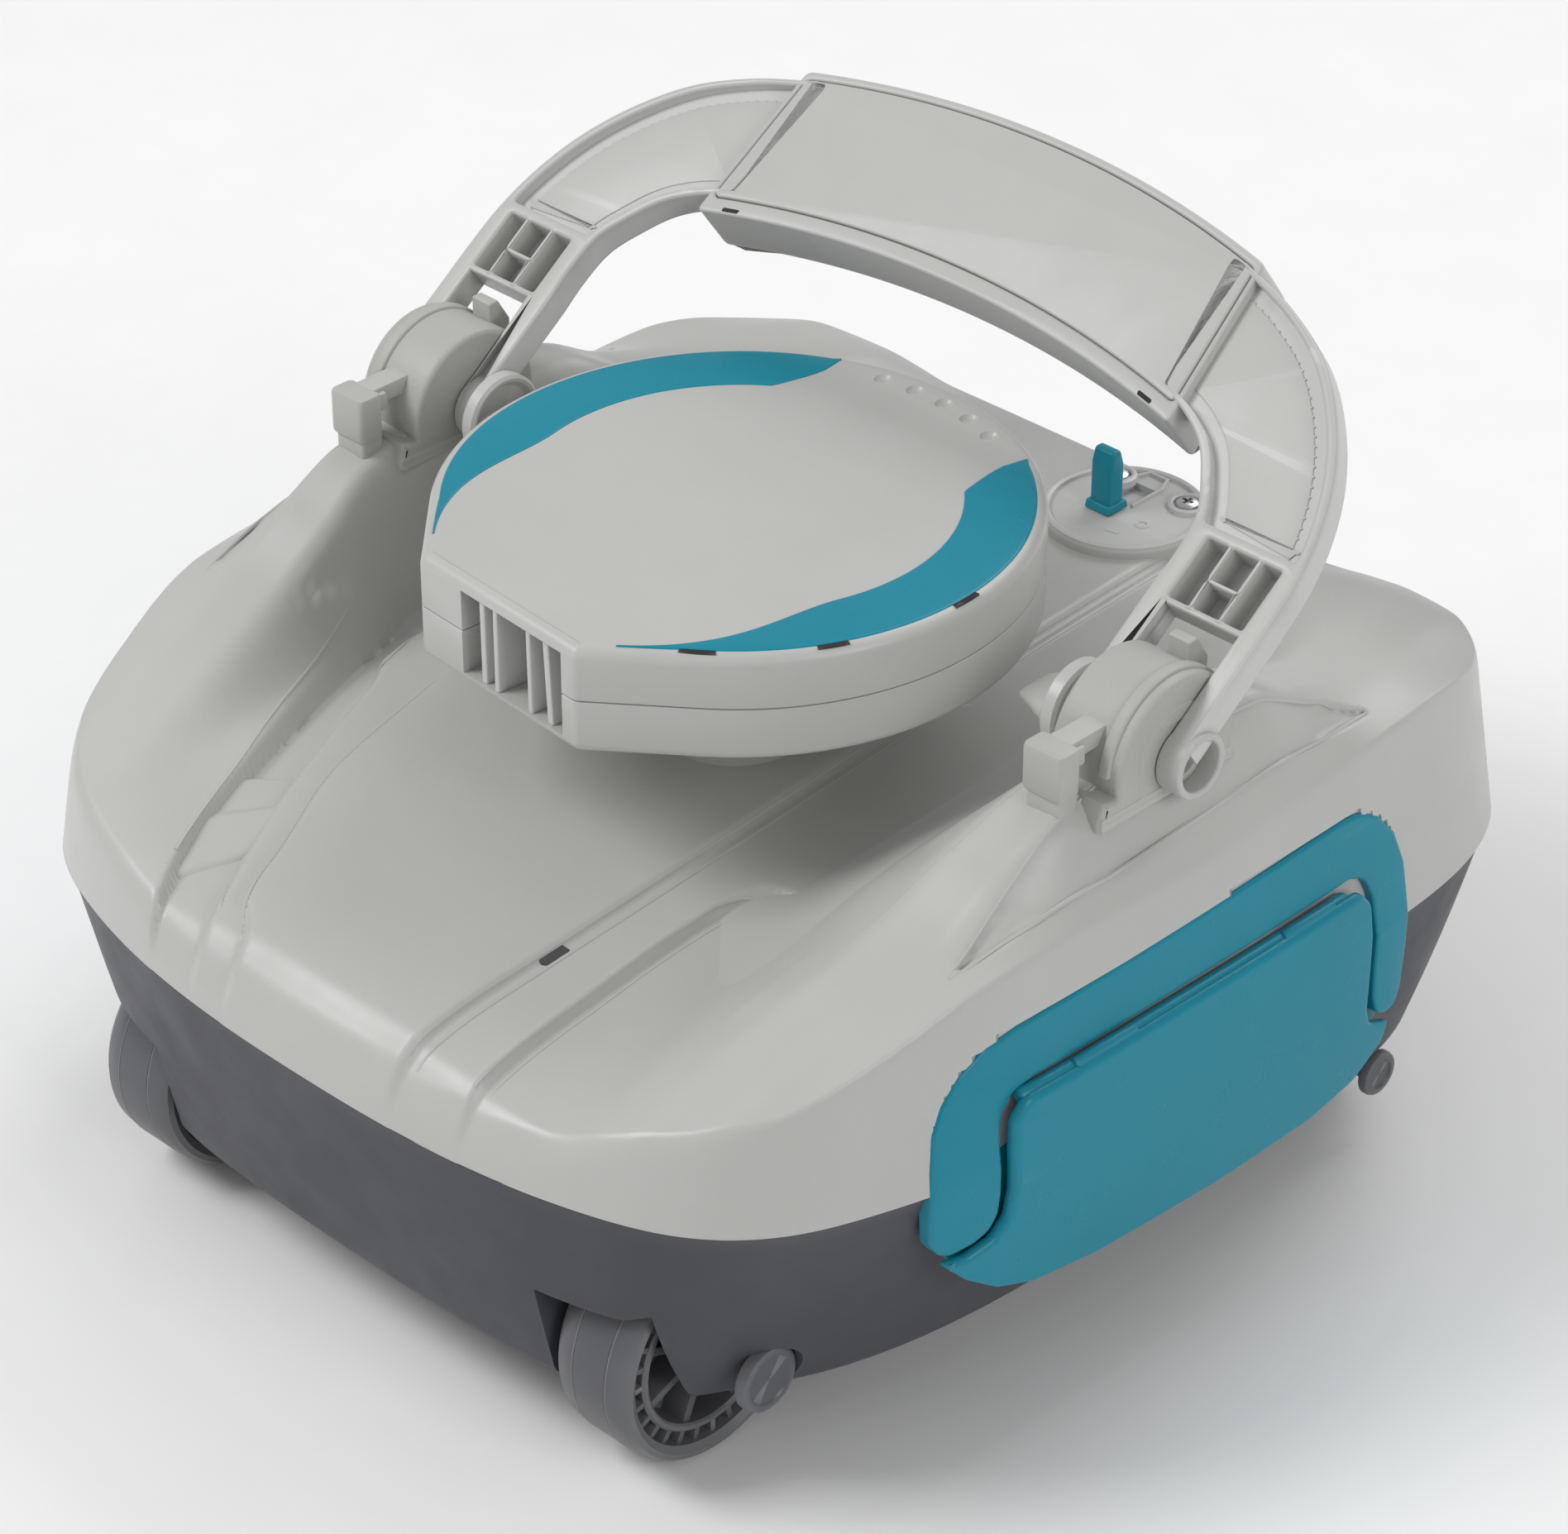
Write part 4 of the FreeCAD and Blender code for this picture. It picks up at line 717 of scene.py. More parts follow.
def bead(line, outline, half, proud):
    """Fine raised line that follows the top housing's skin."""
    path = np.array(smooth_run(line, max(8, int(lengths(np.array(line))[-1] / 1.2))))

    def height(p):
        inset = np.linalg.norm(outline[None] - p[:, None], axis=2).min(1)
        return skin_height(*p.T, inset)

    z = height(path)
    dx = (height(path + [0.4, 0]) - height(path - [0.4, 0])) / 0.8
    dy = (height(path + [0, 0.4]) - height(path - [0, 0.4])) / 0.8
    normal = np.column_stack([-dx, -dy, np.ones(len(z))])
    normal /= np.linalg.norm(normal, axis=1)[:, None]
    at = np.column_stack([path, z])
    along = np.gradient(at, axis=0)
    side = np.cross(along, normal)
    side /= np.linalg.norm(side, axis=1)[:, None]
    taper = np.clip(np.minimum(np.arange(len(z)), np.arange(len(z))[::-1]) / 5.0, 0.05, 1)[:, None]
    brow, high = half * 0.75, proud * 0.6
    corners = [(-half, -0.7), (half, -0.7), (brow, high), (0, proud), (-brow, high)]
    rings = [at + side * a + normal * (b * taper if b > 0 else b) for a, b in corners]
    return capped(list(np.stack(rings, 1)))


def ring_solid(rings):
    """Closed skin through rings of equally many points, the last joined to the first."""
    n = len(rings[0])
    i = np.arange(n)
    j = (i + 1) % n
    faces = []
    for k in range(len(rings)):
        m = (k + 1) % len(rings)
        faces.append(np.stack([k * n + i, k * n + j, m * n + j, m * n + i], 1))
    return np.vstack(rings), np.vstack(faces).tolist()


def capped(rings):
    """Closed solid through rings of equally many points, with flat ends."""
    n = len(rings[0])
    faces = []
    for k in range(len(rings) - 1):
        for i in range(n):
            j = (i + 1) % n
            faces.append((k * n + i, k * n + j, (k + 1) * n + j, (k + 1) * n + i))
    faces.append(tuple(range(n))[::-1])
    faces.append(tuple((len(rings) - 1) * n + i for i in range(n)))
    return np.vstack(rings), faces


# ---------------------------------------------------------------- lower housing

FRONT_WHEEL = (92.4, -121.0, 35.0, 13.5)
REAR_WHEEL = (112.0, 112.0, 20.0, 9.0)
FRAME_OUTLINE = [(-94.4, 78), (-96.5, 121), (-93, 133), (-84.5, 139.4), (-75, 142.2), (64.7, 137),
                 (77.4, 132.4), (85, 123), (87, 110), (87.7, 68), (69, 52.7), (7.4, 51.2),
                 (-39.5, 53.7), (-69, 58.6), (-83.4, 66)]
TRAY_SIDES = 320


def tray_form(inset, low, high, corner):
    """Solid of the lower housing's drafted wall, drawn in by inset, with a rounded lower corner."""
    floor, seam = (plan_curve(plan, TRAY_SIDES) for plan in (FLOOR_PLAN, SEAM_PLAN))
    heights = [low + corner * (1 - math.cos(math.radians(a))) for a in (0, 18, 36, 54, 72, 90)]
    insets = [corner * (1 - math.sin(math.radians(a))) for a in (0, 18, 36, 54, 72, 90)]
    for z in np.linspace(low + corner, high, 14)[1:]:
        heights.append(z)
        insets.append(0)
    rings = []
    for z, extra in zip(heights, insets):
        t = (z - FLOOR_Z) / (SEAM_Z - FLOOR_Z)
        belly = 1.6 * math.sin(math.pi * min(max(t, 0), 1))
        p = floor + (seam - floor) * t
        p = p + inward(p) * (inset + 1.0 * t + extra - belly * 0.5)
        rings.append(np.column_stack([p, np.full(len(p), z)]))
    return capped(rings)


def well_form(wheel, grow, front):
    """Space round a right-hand wheel."""
    x, y, r, half = wheel
    reach = r + 4 + grow
    top = r + reach * 0.62
    if front:
        start = math.degrees(math.asin(0.62))
        side = arc(y, r, reach, 0, 180 - start, 28)
        outline = [(y + reach, -5)] + side + [(y - 90, top + 4), (y - 90, -5)]
    else:
        outline = [(y + reach, -5)] + arc(y, r, reach, 0, 180, 32) + [(y - reach, -5)]
    return along_x(plate(outline, x - half - 3 - grow, x + half + 3 + grow))


def clipped(points, x0, x1, y0, y1):
    """A closed run of points cut to a box."""
    for axis, limit, sign in ((0, x0, 1), (0, x1, -1), (1, y0, 1), (1, y1, -1)):
        out = []
        for k, b in enumerate(points):
            a = points[k - 1]
            ia, ib = ((p[axis] - limit) * sign >= 0 for p in (a, b))
            if ia != ib:
                t = (limit - a[axis]) / (b[axis] - a[axis])
                out.append((a[0] + t * (b[0] - a[0]), a[1] + t * (b[1] - a[1])))
            if ib:
                out.append(tuple(b))
        points = out
    return points


def corner_legs():
    """Right-hand feet below the floor, front and rear."""
    plan = [tuple(p) for p in plan_curve(FLOOR_PLAN, 120)]
    front = clipped(plan, 108, 140, -137, -62)
    rear = clipped(plan, 122, 150, 92, 140)
    return [plate(rounded(f, 0.5, 1), LEG_Z, FLOOR_Z + 8, 2.5, 0) for f in (front, rear)]


def base_tray():
    """Lower housing with its arches, feet and suction opening."""
    outer = tray_form(0, FLOOR_Z, SEAM_Z - SEAM_GAP, 5.0)
    inner = tray_form(WALL, FLOOR_Z + WALL, SEAM_Z + 3, 2.0)
    wells = [twins(well_form(FRONT_WHEEL, 0, True)), twins(well_form(REAR_WHEEL, 0, False))]
    walls = [twins(well_form(FRONT_WHEEL, 2.5, True)), twins(well_form(REAR_WHEEL, 2.5, False))]
    inner = points_of(cut(inner, *walls))
    mouth = block(-62, 62, -22, 6, 20, 34)
    side = plate(rounded(FRAME_OUTLINE, 6, 3), 157.4, 180)
    bores = [along_x_at(disc(10.3, 121, 140), -121, 35), along_x_at(disc(7.3, 138.7, 160), 112, 20)]
    shell = cut(outer, inner, *wells, mouth, twins(along_x(side)), *[twins(bore) for bore in bores])
    feet = [cut(twins(leg), *wells) for leg in corner_legs()]
    return joined(points_of(shell), *[points_of(f) for f in feet])


# ---------------------------------------------------------------- wheels and axles

def wheel(r, half, spokes, notches):
    """Wheel about the third axis: crowned tread, notched rim, web, spokes and hub."""
    k = r / 35.0
    w = half
    tread = lathe([(29.5 * k, -w + 1.4), (31.5 * k, -w), (33.2 * k, -w + 0.5), (34.4 * k, -w + 2.2),
                   (35 * k, -w * 0.45), (35 * k, w * 0.45), (34.4 * k, w - 2.2), (33.2 * k, w - 0.5),
                   (31.5 * k, w), (29.5 * k, w - 1.4)], 96)
    groove = []
    for c in (-0.45, 0.45):
        groove.append(lathe([(34.7 * k, c * w - 0.5), (35 * k, c * w - 0.35), (35 * k, c * w + 0.35),
                             (34.7 * k, c * w + 0.5)], 96))
    lip = lathe([(23.6 * k, -w + 2.6), (24.2 * k, -w + 2), (25.4 * k, -w + 2), (26 * k, -w + 2.6),
                 (26 * k, w - 2.6), (25.4 * k, w - 2), (24.2 * k, w - 2), (23.6 * k, w - 2.6)], 96)
    web = lathe([(7 * k, -1.6), (30 * k, -1.6), (30 * k, 1.6), (7 * k, 1.6)], 96)
    hub = disc(9.5 * k, -w + 0.6, w - 0.6, 0.8, 0.8, bore=5.15 * k if r > 30 else 3.6)
    parts = [tread, lip, web, hub] + groove
    for n in range(notches):
        parts.append(turned(block(25 * k, 30 * k, -0.9 * k, 0.9 * k, -w + 2.4, w - 2.4, 0.3, 0.3),
                            2 * math.pi * n / notches))
    for n in range(spokes):
        parts.append(turned(block(8.5 * k, 24.5 * k, -1.3 * k, 1.3 * k, -w + 3.4, w - 3.4, 0.4, 0.4),
                            2 * math.pi * (n + 0.5) / spokes))
    return joined(*parts)


def axle(x0, cap, end, r, cap_r, y, z):
    """Right-hand axle with its domed, dished cap."""
    n = cap_r
    profile = [(0.01, x0), (r - 0.6, x0), (r, x0 + 0.6), (r, cap), (n - 0.3, cap), (n, cap + 0.4),
               (n, end - 1.2), (n - 0.4, end - 0.35), (n - 1.4, end), (n - 2.4, end),
               (n - 3.0, end - 0.5), (0.01, end - 0.6)]
    return along_x_at(lathe(profile, 56, closed=False), y, z)


# ---------------------------------------------------------------- flank frames and flaps

BAND_OUTER = [(-95.0, 82), (-95.3, 91), (-94.2, 103.8), (-92.5, 114.4), (-89.0, 121.9), (-82.9, 128.3),
              (-74.0, 132.7), (-63.0, 134.3), (4.9, 135.8), (63.4, 137.3), (72.5, 136.2), (79.9, 132.2),
              (86.3, 124.4), (89.6, 114.2), (90.1, 100.7), (89.8, 87.4), (88.6, 74.6), (86.6, 69.0),
              (82.0, 68.2)]
BAND_INNER = [(77.6, 70.2), (75.6, 77.0), (75.4, 86.0), (75.6, 97.0), (74.6, 110.0), (71.2, 117.2),
              (65.3, 119.2), (34.7, 118.9), (-23.3, 118.4), (-58.5, 118.2), (-66.8, 116.8), (-71.0, 112.6),
              (-72.4, 106.0), (-72.7, 98.0), (-72.7, 89.5), (-73.6, 83.0), (-76.6, 78.8), (-81.6, 76.9),
              (-91.0, 76.0)]
FLAP_OUTLINE = [(65.0, 117.4), (69.3, 112.4), (70.8, 101.0), (71.0, 85.2), (71.2, 75.4), (73.4, 69.8),
                (78.6, 67.4), (82.4, 65.8), (80.3, 60.0), (69.2, 52.2), (50.6, 48.6), (12.0, 48.2),
                (-35.2, 50.6), (-60.5, 54.4), (-73.8, 59.3), (-84.4, 66.9), (-92.3, 75.3), (-84.7, 74.8),
                (-76.4, 76.9), (-71.8, 81.8), (-70.4, 90.0), (-70.8, 102.5), (-70.4, 112.0), (-65.6, 116.9)]
FLAP_CORNERS = [5, 6, 6, 6, 5, 4, 3, 0.9, 6, 9, 12, 14, 14, 9, 8, 5, 0.9, 5, 5, 6, 8, 8, 6, 5]
KNUCKLES = ((-47.0, -23.5), (34.7, 55.8))
ROLL, ROLL_AXIS = (-66, 62), (162.0, 115.6)
LEAN, LEAN_POWER = 0.14, 1.04
BAND_X, BAND_PROUD = 164.6, 0.9
SEAT_DEPTH, SEAT_MARGIN = 4.6, 1.2


def on_housing(y):
    """Distance out to the flank band's face at the seam, just proud of the housing."""
    side = plan_curve(SEAM_PLAN, ROUND)
    side = side[(side[:, 0] > 120) & (np.abs(side[:, 1]) < 130)]
    side = side[np.argsort(side[:, 1])]
    return np.interp(y, side[:, 1], side[:, 0]) + BAND_PROUD


def wrapped(part):
    """Bends a flank part in towards the front, to follow the housing in plan."""
    return moved(part, lambda x, y, z: (x + on_housing(y) - BAND_X, y, z))


def inside(y, z, outline):
    """Which points lie inside a closed outline."""
    crossings = np.zeros(len(y), int)
    for (ay, az), (by, bz) in zip(outline, outline[1:] + outline[:1]):
        spans = (az > z) != (bz > z)
        reach = ay + (z - az) * (by - ay) / (bz - az if bz != az else 1)
        crossings += spans & (y < reach)
    return crossings % 2 == 1


def leaning(z):
    """How far the housing's draft falls back above the seam."""
    return LEAN * np.maximum(z - SEAM_Z, 0) ** LEAN_POWER


def leaned(part):
    """Leans a flank part in above the seam, to follow the housing's draft."""
    return moved(part, lambda x, y, z: (x - leaning(z), y, z))


def sliced(part, heights, stations=()):
    """A part with its faces cut at some heights and stations along Y, so that it can bend there."""
    mesh = mesh_of("slice", part)
    bm = bmesh.new()
    bm.from_mesh(mesh)
    planes = [((0, 0, z * MM), (0, 0, 1)) for z in heights] + [((0, y * MM, 0), (0, 1, 0)) for y in stations]
    for place, normal in planes:
        geometry = bm.verts[:] + bm.edges[:] + bm.faces[:]
        bmesh.ops.bisect_plane(bm, geom=geometry, plane_co=place, plane_no=normal, dist=1e-7)
    bm.to_mesh(mesh)
    bm.free()
    return points_of(mesh)


def grown(points, amount):
    """A polygon offset outwards by amount."""
    p = np.array(points if turns_left(points) else points[::-1], float)
    return [tuple(q) for q in p - inward(p) * amount]


BENDS = [-92 + 8 * k for k in range(23)]


def side_frame():
    """Right flank frame: seat floor and the broad rounded band round the flap."""
    seat = [(y, min(z, 134)) for y, z in rounded(grown(FRAME_OUTLINE, -2.0), 9, 5)]
    back = plate(seat, 157.6, 161.0, 0.5, 0.4)
    outline = rounded(BAND_OUTER + BAND_INNER, 6, 5)
    band = plate(outline, 160.8, BAND_X, 0, 1.1, steps=5)
    return wrapped(leaned(sliced(along_x(joined(back, band)), [97 + 5 * k for k in range(9)], BENDS)))


def bowed(z):
    """How far the flap's face falls back above and below its fullest height."""
    return 0.0009 * np.minimum(z - 100, 0) ** 2 + 0.003 * np.maximum(z - 100, 0) ** 2


def side_latch():
    """Right latch flap: bowed leaf with rolled edges, hinge knuckles and flared lower tips."""
    outline = rounded(FLAP_OUTLINE, FLAP_CORNERS, 5)
    rims = [2.3 if z > 74 and y < 64 else 1.3 for y, z in outline]
    leaf = plate(outline, 163.4, 166.8, 0.5, rims, steps=6)
    whole = sliced(along_x(leaf), [52 + 5 * k for k in range(14)], BENDS)
    whole = moved(whole, lambda x, y, z: (x - bowed(z) * (x - 162) / 4.8, y, z))
    parts = [barrel(2.3, *ROLL, *ROLL_AXIS)]
    parts += [barrel(1.7, y0, y1, 163.0, 117.0) for y0, y1 in KNUCKLES]
    return wrapped(joined(whole, *parts))


def barrel(r, y0, y1, x, z):
    """Round bar along Y with rounded ends, cut into short lengths so that it can bend."""
    count = max(2, int((y1 - y0) / 8))
    rings = []
    a = np.linspace(0, 2 * math.pi, 24, endpoint=False)
    shares = [0.6, 0.85] + [1.0] * count + [0.85, 0.6]
    places = [y0, y0 + 0.3, *np.linspace(y0 + 1, y1 - 1, count), y1 - 0.3, y1]
    for share, y in zip(shares, places):
        rings.append(np.column_stack([x + r * share * np.sin(a), np.full(24, y), z + r * share * np.cos(a)]))
    return capped(rings)


def latch_rod():
    """Thin hinge rod inside the right latch flap's rolled top edge."""
    return wrapped(barrel(0.8, ROLL[0] + 1, ROLL[1] - 1, *ROLL_AXIS))


# ---------------------------------------------------------------- handle

ARM_OUTER = [(80, 128.6), (101, 121.5), (118.5, 112), (132, 99), (142.5, 83.5), (148.5, 68.5),
             (151.6, 53.5), (152.3, 38)]
ARM_INNER = [(114.2, 36), (114.6, 46.8), (113.2, 58.3), (108, 67.5), (100.8, 76.5), (92, 82.3), (80, 87)]
ARM_LOW, ARM_HIGH, WEB_TOP, FLOOR_TOP = -0.5, 9.4, 5.9, 1.1
CHEEK_IN, CHEEK_OUT = (114.2, 120.9), (145.9, 152.3)
BOSS_END = 154.0
GRIP_TOP = ((-85.5, 130), (0, 140.4), (85.5, 130))
GRIP_BOTTOM = ((89, 78), (0, 89), (-89, 78))
PANEL_TOP = ((-83.6, 127.4), (0, 137.6), (83.6, 127.4))
PANEL_BOTTOM = ((86.6, 84), (0, 94.5), (-86.6, 84))


def arm_outline(inset):
    """Right arm in the handle's plane, from the grip to the fork's open end."""
    outer = [(x - inset, v - inset * 0.4) for x, v in smooth_run(ARM_OUTER, 40)]
    inner = [(x + inset, v + inset * 0.4) for x, v in smooth_run(ARM_INNER, 34)]
    return outer, inner


def arm():
    """Right arm: rim, sunk web, ribbed pocket, fork cheeks and bosses."""
    outer, inner = arm_outline(0)
    fork = [(CHEEK_OUT[1], 0), (CHEEK_OUT[0], 0), (CHEEK_OUT[0], 33), (CHEEK_IN[1], 33), (CHEEK_IN[1], 0),
            (CHEEK_IN[0], 0)]
    outline = outer + fork + inner
    x0, x1 = CHEEK_IN[1], CHEEK_OUT[0]
    splits = (x0 + 8.4, x0 + 18.6)
    cells = [(x0, splits[0] - 1.4, 35, 54), (splits[0], splits[1] - 1.4, 35, 42.6),
             (splits[0], splits[1] - 1.4, 44, 54), (splits[1], x1, 35, 54)]
    holes = [rounded(box(*cell), 0.7, 2) for cell in cells]
    web_out, web_in = arm_outline(3.0)
    web_out = [p for p in web_out if p[1] > 58]
    web_in = [p for p in web_in if p[1] > 58]
    window = rounded([*web_out, (web_out[-1][0], 57.5), (web_in[0][0] + 1, 57.5), *web_in], 0.8, 2)
    back = plate(outline, ARM_LOW, FLOOR_TOP, 1.2, 0)
    middle = plate(outline, FLOOR_TOP, WEB_TOP, 0, 0, holes)
    front = plate(outline, WEB_TOP, ARM_HIGH, 0, 1.1, [*holes, window])
    line = plate(rounded(grown(window, -4.0), 0.5, 1), WEB_TOP - 0.5, WEB_TOP + 0.35, 0, 0.3)
    bosses = [CHEEK_IN, (CHEEK_OUT[0], BOSS_END)]
    rings = [along_x(disc(9.4, a, b, 0.6, 0.9, 56, bore=7.2)) for a, b in bosses]
    return joined(back, middle, front, line, *rings)


def grip_shell():
    """Hollow float grip: deep rounded back and slim front rim round the panel's opening."""
    outline = rounded_band(GRIP_TOP, GRIP_BOTTOM, 4.0)
    panel = grown(rounded_band(PANEL_TOP, PANEL_BOTTOM, 3.0), 0.35)
    back = plate(outline, -13.0, 7.4, 5.0, 0.0, steps=6)
    rim = plate(outline, 7.4, 9.2, 0, 0.8, [panel])
    return joined(back, rim)


def rounded_band(top, bottom, r):
    """Band between two arcs, with rounded corners."""
    upper, lower = arc3(*top, 40), arc3(*bottom, 40)
    radii = [r] + [0] * 38 + [r] + [r] + [0] * 38 + [r]
    return rounded(upper + lower, radii, 5)


def grip_cover():
    """Front panel of the grip."""
    outline = rounded_band(PANEL_TOP, PANEL_BOTTOM, 3.0)
    return plate(outline, 7.2, 9.4, 0, 0.7, steps=4)


def grip_details():
    """Slots at the lower corners of the grip's front rim, drawn as dark inlays of painted shade."""
    slot = rounded([(81, 80.6), (75.5, 81.8), (75.2, 83.2), (80.8, 82.0)], 0.6, 3)
    return twins(plate(slot, 9.0, 9.28, 0, 0.1))


# ---------------------------------------------------------------- hubs, locks, knobs

def hub():
    """Right domed hub with its arch ribs, skirt and collar."""
    dome = arc(PIVOT_Y, PIVOT_Z, 23.0, -24, 204, 46)
    outline = [(34, 168.0), (30, 170)] + dome[2:-3] + [(-19.5, 176.5), (-21.5, 171), (-21.5, 168)]
    core = plate(rounded(outline, 0.8, 2), 121.2, 145.6, 1.8, 1.8, steps=4)
    arch = arc(PIVOT_Y, PIVOT_Z, 23.9, -10, 176, 44) + arc(PIVOT_Y, PIVOT_Z, 19.0, 176, -10, 44)
    rib = plate(arch, 138.6, 142.4, 0.7, 0.7)
    collar = arc(PIVOT_Y, PIVOT_Z, 15.5, -30, 210, 40) + arc(PIVOT_Y, PIVOT_Z, 10.6, 210, -30, 40)
    ring = plate(collar, 144.0, 145.85, 0, 0.6)
    foot = plate(rounded(box(-21, 31, 168, 172.5), 1.5, 3), 121.0, 145.8, 0.6, 0.6)
    return along_x(joined(core, rib, ring, foot))


def lock():
    """Right lock slide: rounded thumb tab with a top step, bar and tongue."""
    tab = block(126.2, 139.8, -31.0, -22.6, 178.6, 192.9, 1.3, 2.0)
    stem = block(127.2, 138.8, -30.0, -22.0, 168.5, 180, 0.3, 1.5)
    ledge = block(127.6, 138.4, -25.4, -19.5, 186.0, 191.6, 0.8, 1.0)
    bar = block(129.2, 136.8, -24, 29.8, 187.4, 192.8, 0.6, 0.6)
    tongue = along_x(plate(rounded([(22.0, 188), (29.9, 188), (29.9, 196), (25.5, 203.3), (22.0, 203.3)],
                                   0.8, 3), 129.2, 136.8, 0.6, 0.6))
    return joined(tab, stem, ledge, bar, tongue)


def knob():
    """Right clamp knob: rimmed disc with a tapering wing."""
    n = 13.2
    profile = [(0.01, 110.4), (n - 3.4, 110.4), (n - 2.6, 109.6), (n - 1.9, 108.8), (n - 0.9, 108.6),
               (n, 109.5), (n, 113.0), (n - 0.9, 113.9), (5.0, 113.9), (4.9, 128.0), (0.01, 128.0)]
    disc_part = along_x_at(lathe(profile, 64, closed=False), PIVOT_Y, PIVOT_Z)
    rings = []
    for k in range(13):
        t = k / 12
        x = 96.0 + 16 * t
        half_y = 7.5 + 3.5 * step(t * 1.2)
        half_z = 1.5 + 2.1 * step(t)
        if k == 0:
            half_y, half_z = half_y * 0.86, half_z * 0.6
        a = np.linspace(0, 2 * math.pi, 32, endpoint=False)
        cy = np.sign(np.cos(a)) * np.abs(np.cos(a)) ** 0.45
        cz = np.sign(np.sin(a)) * np.abs(np.sin(a)) ** 0.6
        rings.append(np.column_stack([np.full(32, x), PIVOT_Y + half_y * cy, PIVOT_Z + half_z * cz]))
    return joined(disc_part, capped(rings))


def pin():
    """Right hollow pivot pin with a chamfered open end."""
    return along_x_at(disc(7.12, 114.5, 148.0, 0.5, 0.5, 56, bore=5.0), PIVOT_Y, PIVOT_Z)


# ---------------------------------------------------------------- drum

def drum_outline(inset=0.0, corner=3.0):
    """Drum outline about its own axis, nozzle towards -Y."""
    r = DRUM_R - inset
    px, py = NOZZLE_HALF - inset, -(NOZZLE_FRONT - inset)
    angle = math.degrees(math.atan2(px, -py) + math.acos(r / math.hypot(px, py)))
    body = arc(0, 0, r, angle - 90, 270 - angle, 150)
    radii = [corner] + [0] * len(body) + [corner]
    return rounded([(px, py)] + body + [(-px, py)], radii, 5)


def tangent_angle():
    """Angle from the nozzle at which the drum's straight flank meets its circle."""
    return math.degrees(math.atan2(NOZZLE_HALF, NOZZLE_FRONT)
                        + math.acos(DRUM_R / math.hypot(NOZZLE_HALF, NOZZLE_FRONT)))


CRESCENT_INSET, CRESCENT_PROUD, CRESCENT_INNER_R = 2.7, 0.3, 61.6
DIMPLE_AT, DIMPLE_TURN = 76.0, 8.3


def crescent():
    """Right crescent about the drum's axis: narrow inner rim, full rounded outer edge."""
    tip, end = 27.0, 152.0
    inner, outer = [], []
    for i in range(81):
        angle = tip + (end - tip) * i / 80
        out = DRUM_R / math.cos(math.radians(max(0, tangent_angle() - angle)))
        rise, fall = min(1, (angle - tip) / 48.0), min(1, (end - angle) / 12.0)
        depth = (1 - math.cos(math.pi * rise)) / 2 * math.sqrt(max(0, fall))
        a = math.radians(angle)
        edge = out - CRESCENT_INSET
        r = edge - 0.5 - (edge - CRESCENT_INNER_R) * depth
        inner.append((r * math.sin(a), -r * math.cos(a)))
        outer.append((edge * math.sin(a), -edge * math.cos(a)))
    outline = outer + inner[::-1]
    width = [math.dist(p, q) for p, q in zip(outer, inner)]
    rims = [min(1.2, 0.3 * w) for w in width] + [min(0.5, 0.2 * w) for w in width[::-1]]
    return plate(outline, DRUM_TOP - 4.5, DRUM_TOP + CRESCENT_PROUD, 0, rims, steps=5)


MOUTH_X = (-14.7, 26.9)
# Each vane: place across, half thickness, front edge and lean
VANES = ((-6.9, 1.1, -83.6, 0.01), (-1.3, 0.95, -83.9, 0.0), (12.6, 0.9, -83.8, 0.015),
         (20.5, 1.2, -83.4, 0.06))


def vanes():
    """Comb of four uneven guide vanes in the outlet mouth."""
    parts = [block(MOUTH_X[0] + 0.3, MOUTH_X[1] - 0.3, -72.5, -66.6, 175.1, 176.6, 0.2, 0.3)]
    for x, half, front, lean in VANES:
        leaf = block(x - half, x + half, front, -66.6, 175.1, 200.5, 0.0, 0.6)
        parts.append(moved(leaf, lambda a, b, c, lean=lean: (a - lean * (c - 175), b, c)))
    return joined(*parts)


def drum_mouth():
    """Space of the outlet mouth."""
    return block(*MOUTH_X, -95, -64.5, 175, 200.6, 0, 0)


def turret_upper():
    """Upper half of the drum: rounded edge, mouth and five dimples."""
    body = plate(drum_outline(), DRUM_SPLIT + DRUM_SEAM, DRUM_TOP, 0.35, 3.5, steps=6)
    dimples = []
    for i in range(-2, 3):
        a = math.radians(i * DIMPLE_TURN)
        bowl = lathe([(0.01, 202.6), (1.4, 202.8), (2.2, 203.3), (2.9, 204.2), (2.9, 206), (0.01, 206)],
                     28, closed=False)
        dimples.append(shifted(bowl, DIMPLE_AT * math.sin(a), DIMPLE_AT * math.cos(a)))
    return cut(body, drum_mouth(), joined(*dimples))


def turret_lower():
    """Lower half of the drum with its softened underside and bearing spigot."""
    body = plate(drum_outline(), DRUM_LOW, DRUM_SPLIT - DRUM_SEAM, 3.0, 0.35, steps=5)
    spigot = lathe([(14, 150), (16.9, 150), (16.9, 173), (14, 173)], 96)
    return joined(points_of(cut(body, drum_mouth())), spigot)


def clip_windows():
    """Small clip openings along the right crescent's outer edge, drawn as dark inlays of painted shade."""
    marks = []
    for middle, half in ((41.5, 3.4), (66.5, 3.0), (96.0, 3.2)):
        out = DRUM_R / math.cos(math.radians(max(0, tangent_angle() - middle))) - CRESCENT_INSET
        outline = arc(0, 0, out + 1.0, middle - half - 90, middle + half - 90, 7)
        outline += arc(0, 0, out - 0.5, middle + half - 90, middle - half - 90, 7)
        marks.append(plate(outline, 201.0, 204.15, 0, 0.1))
    return joined(*marks)


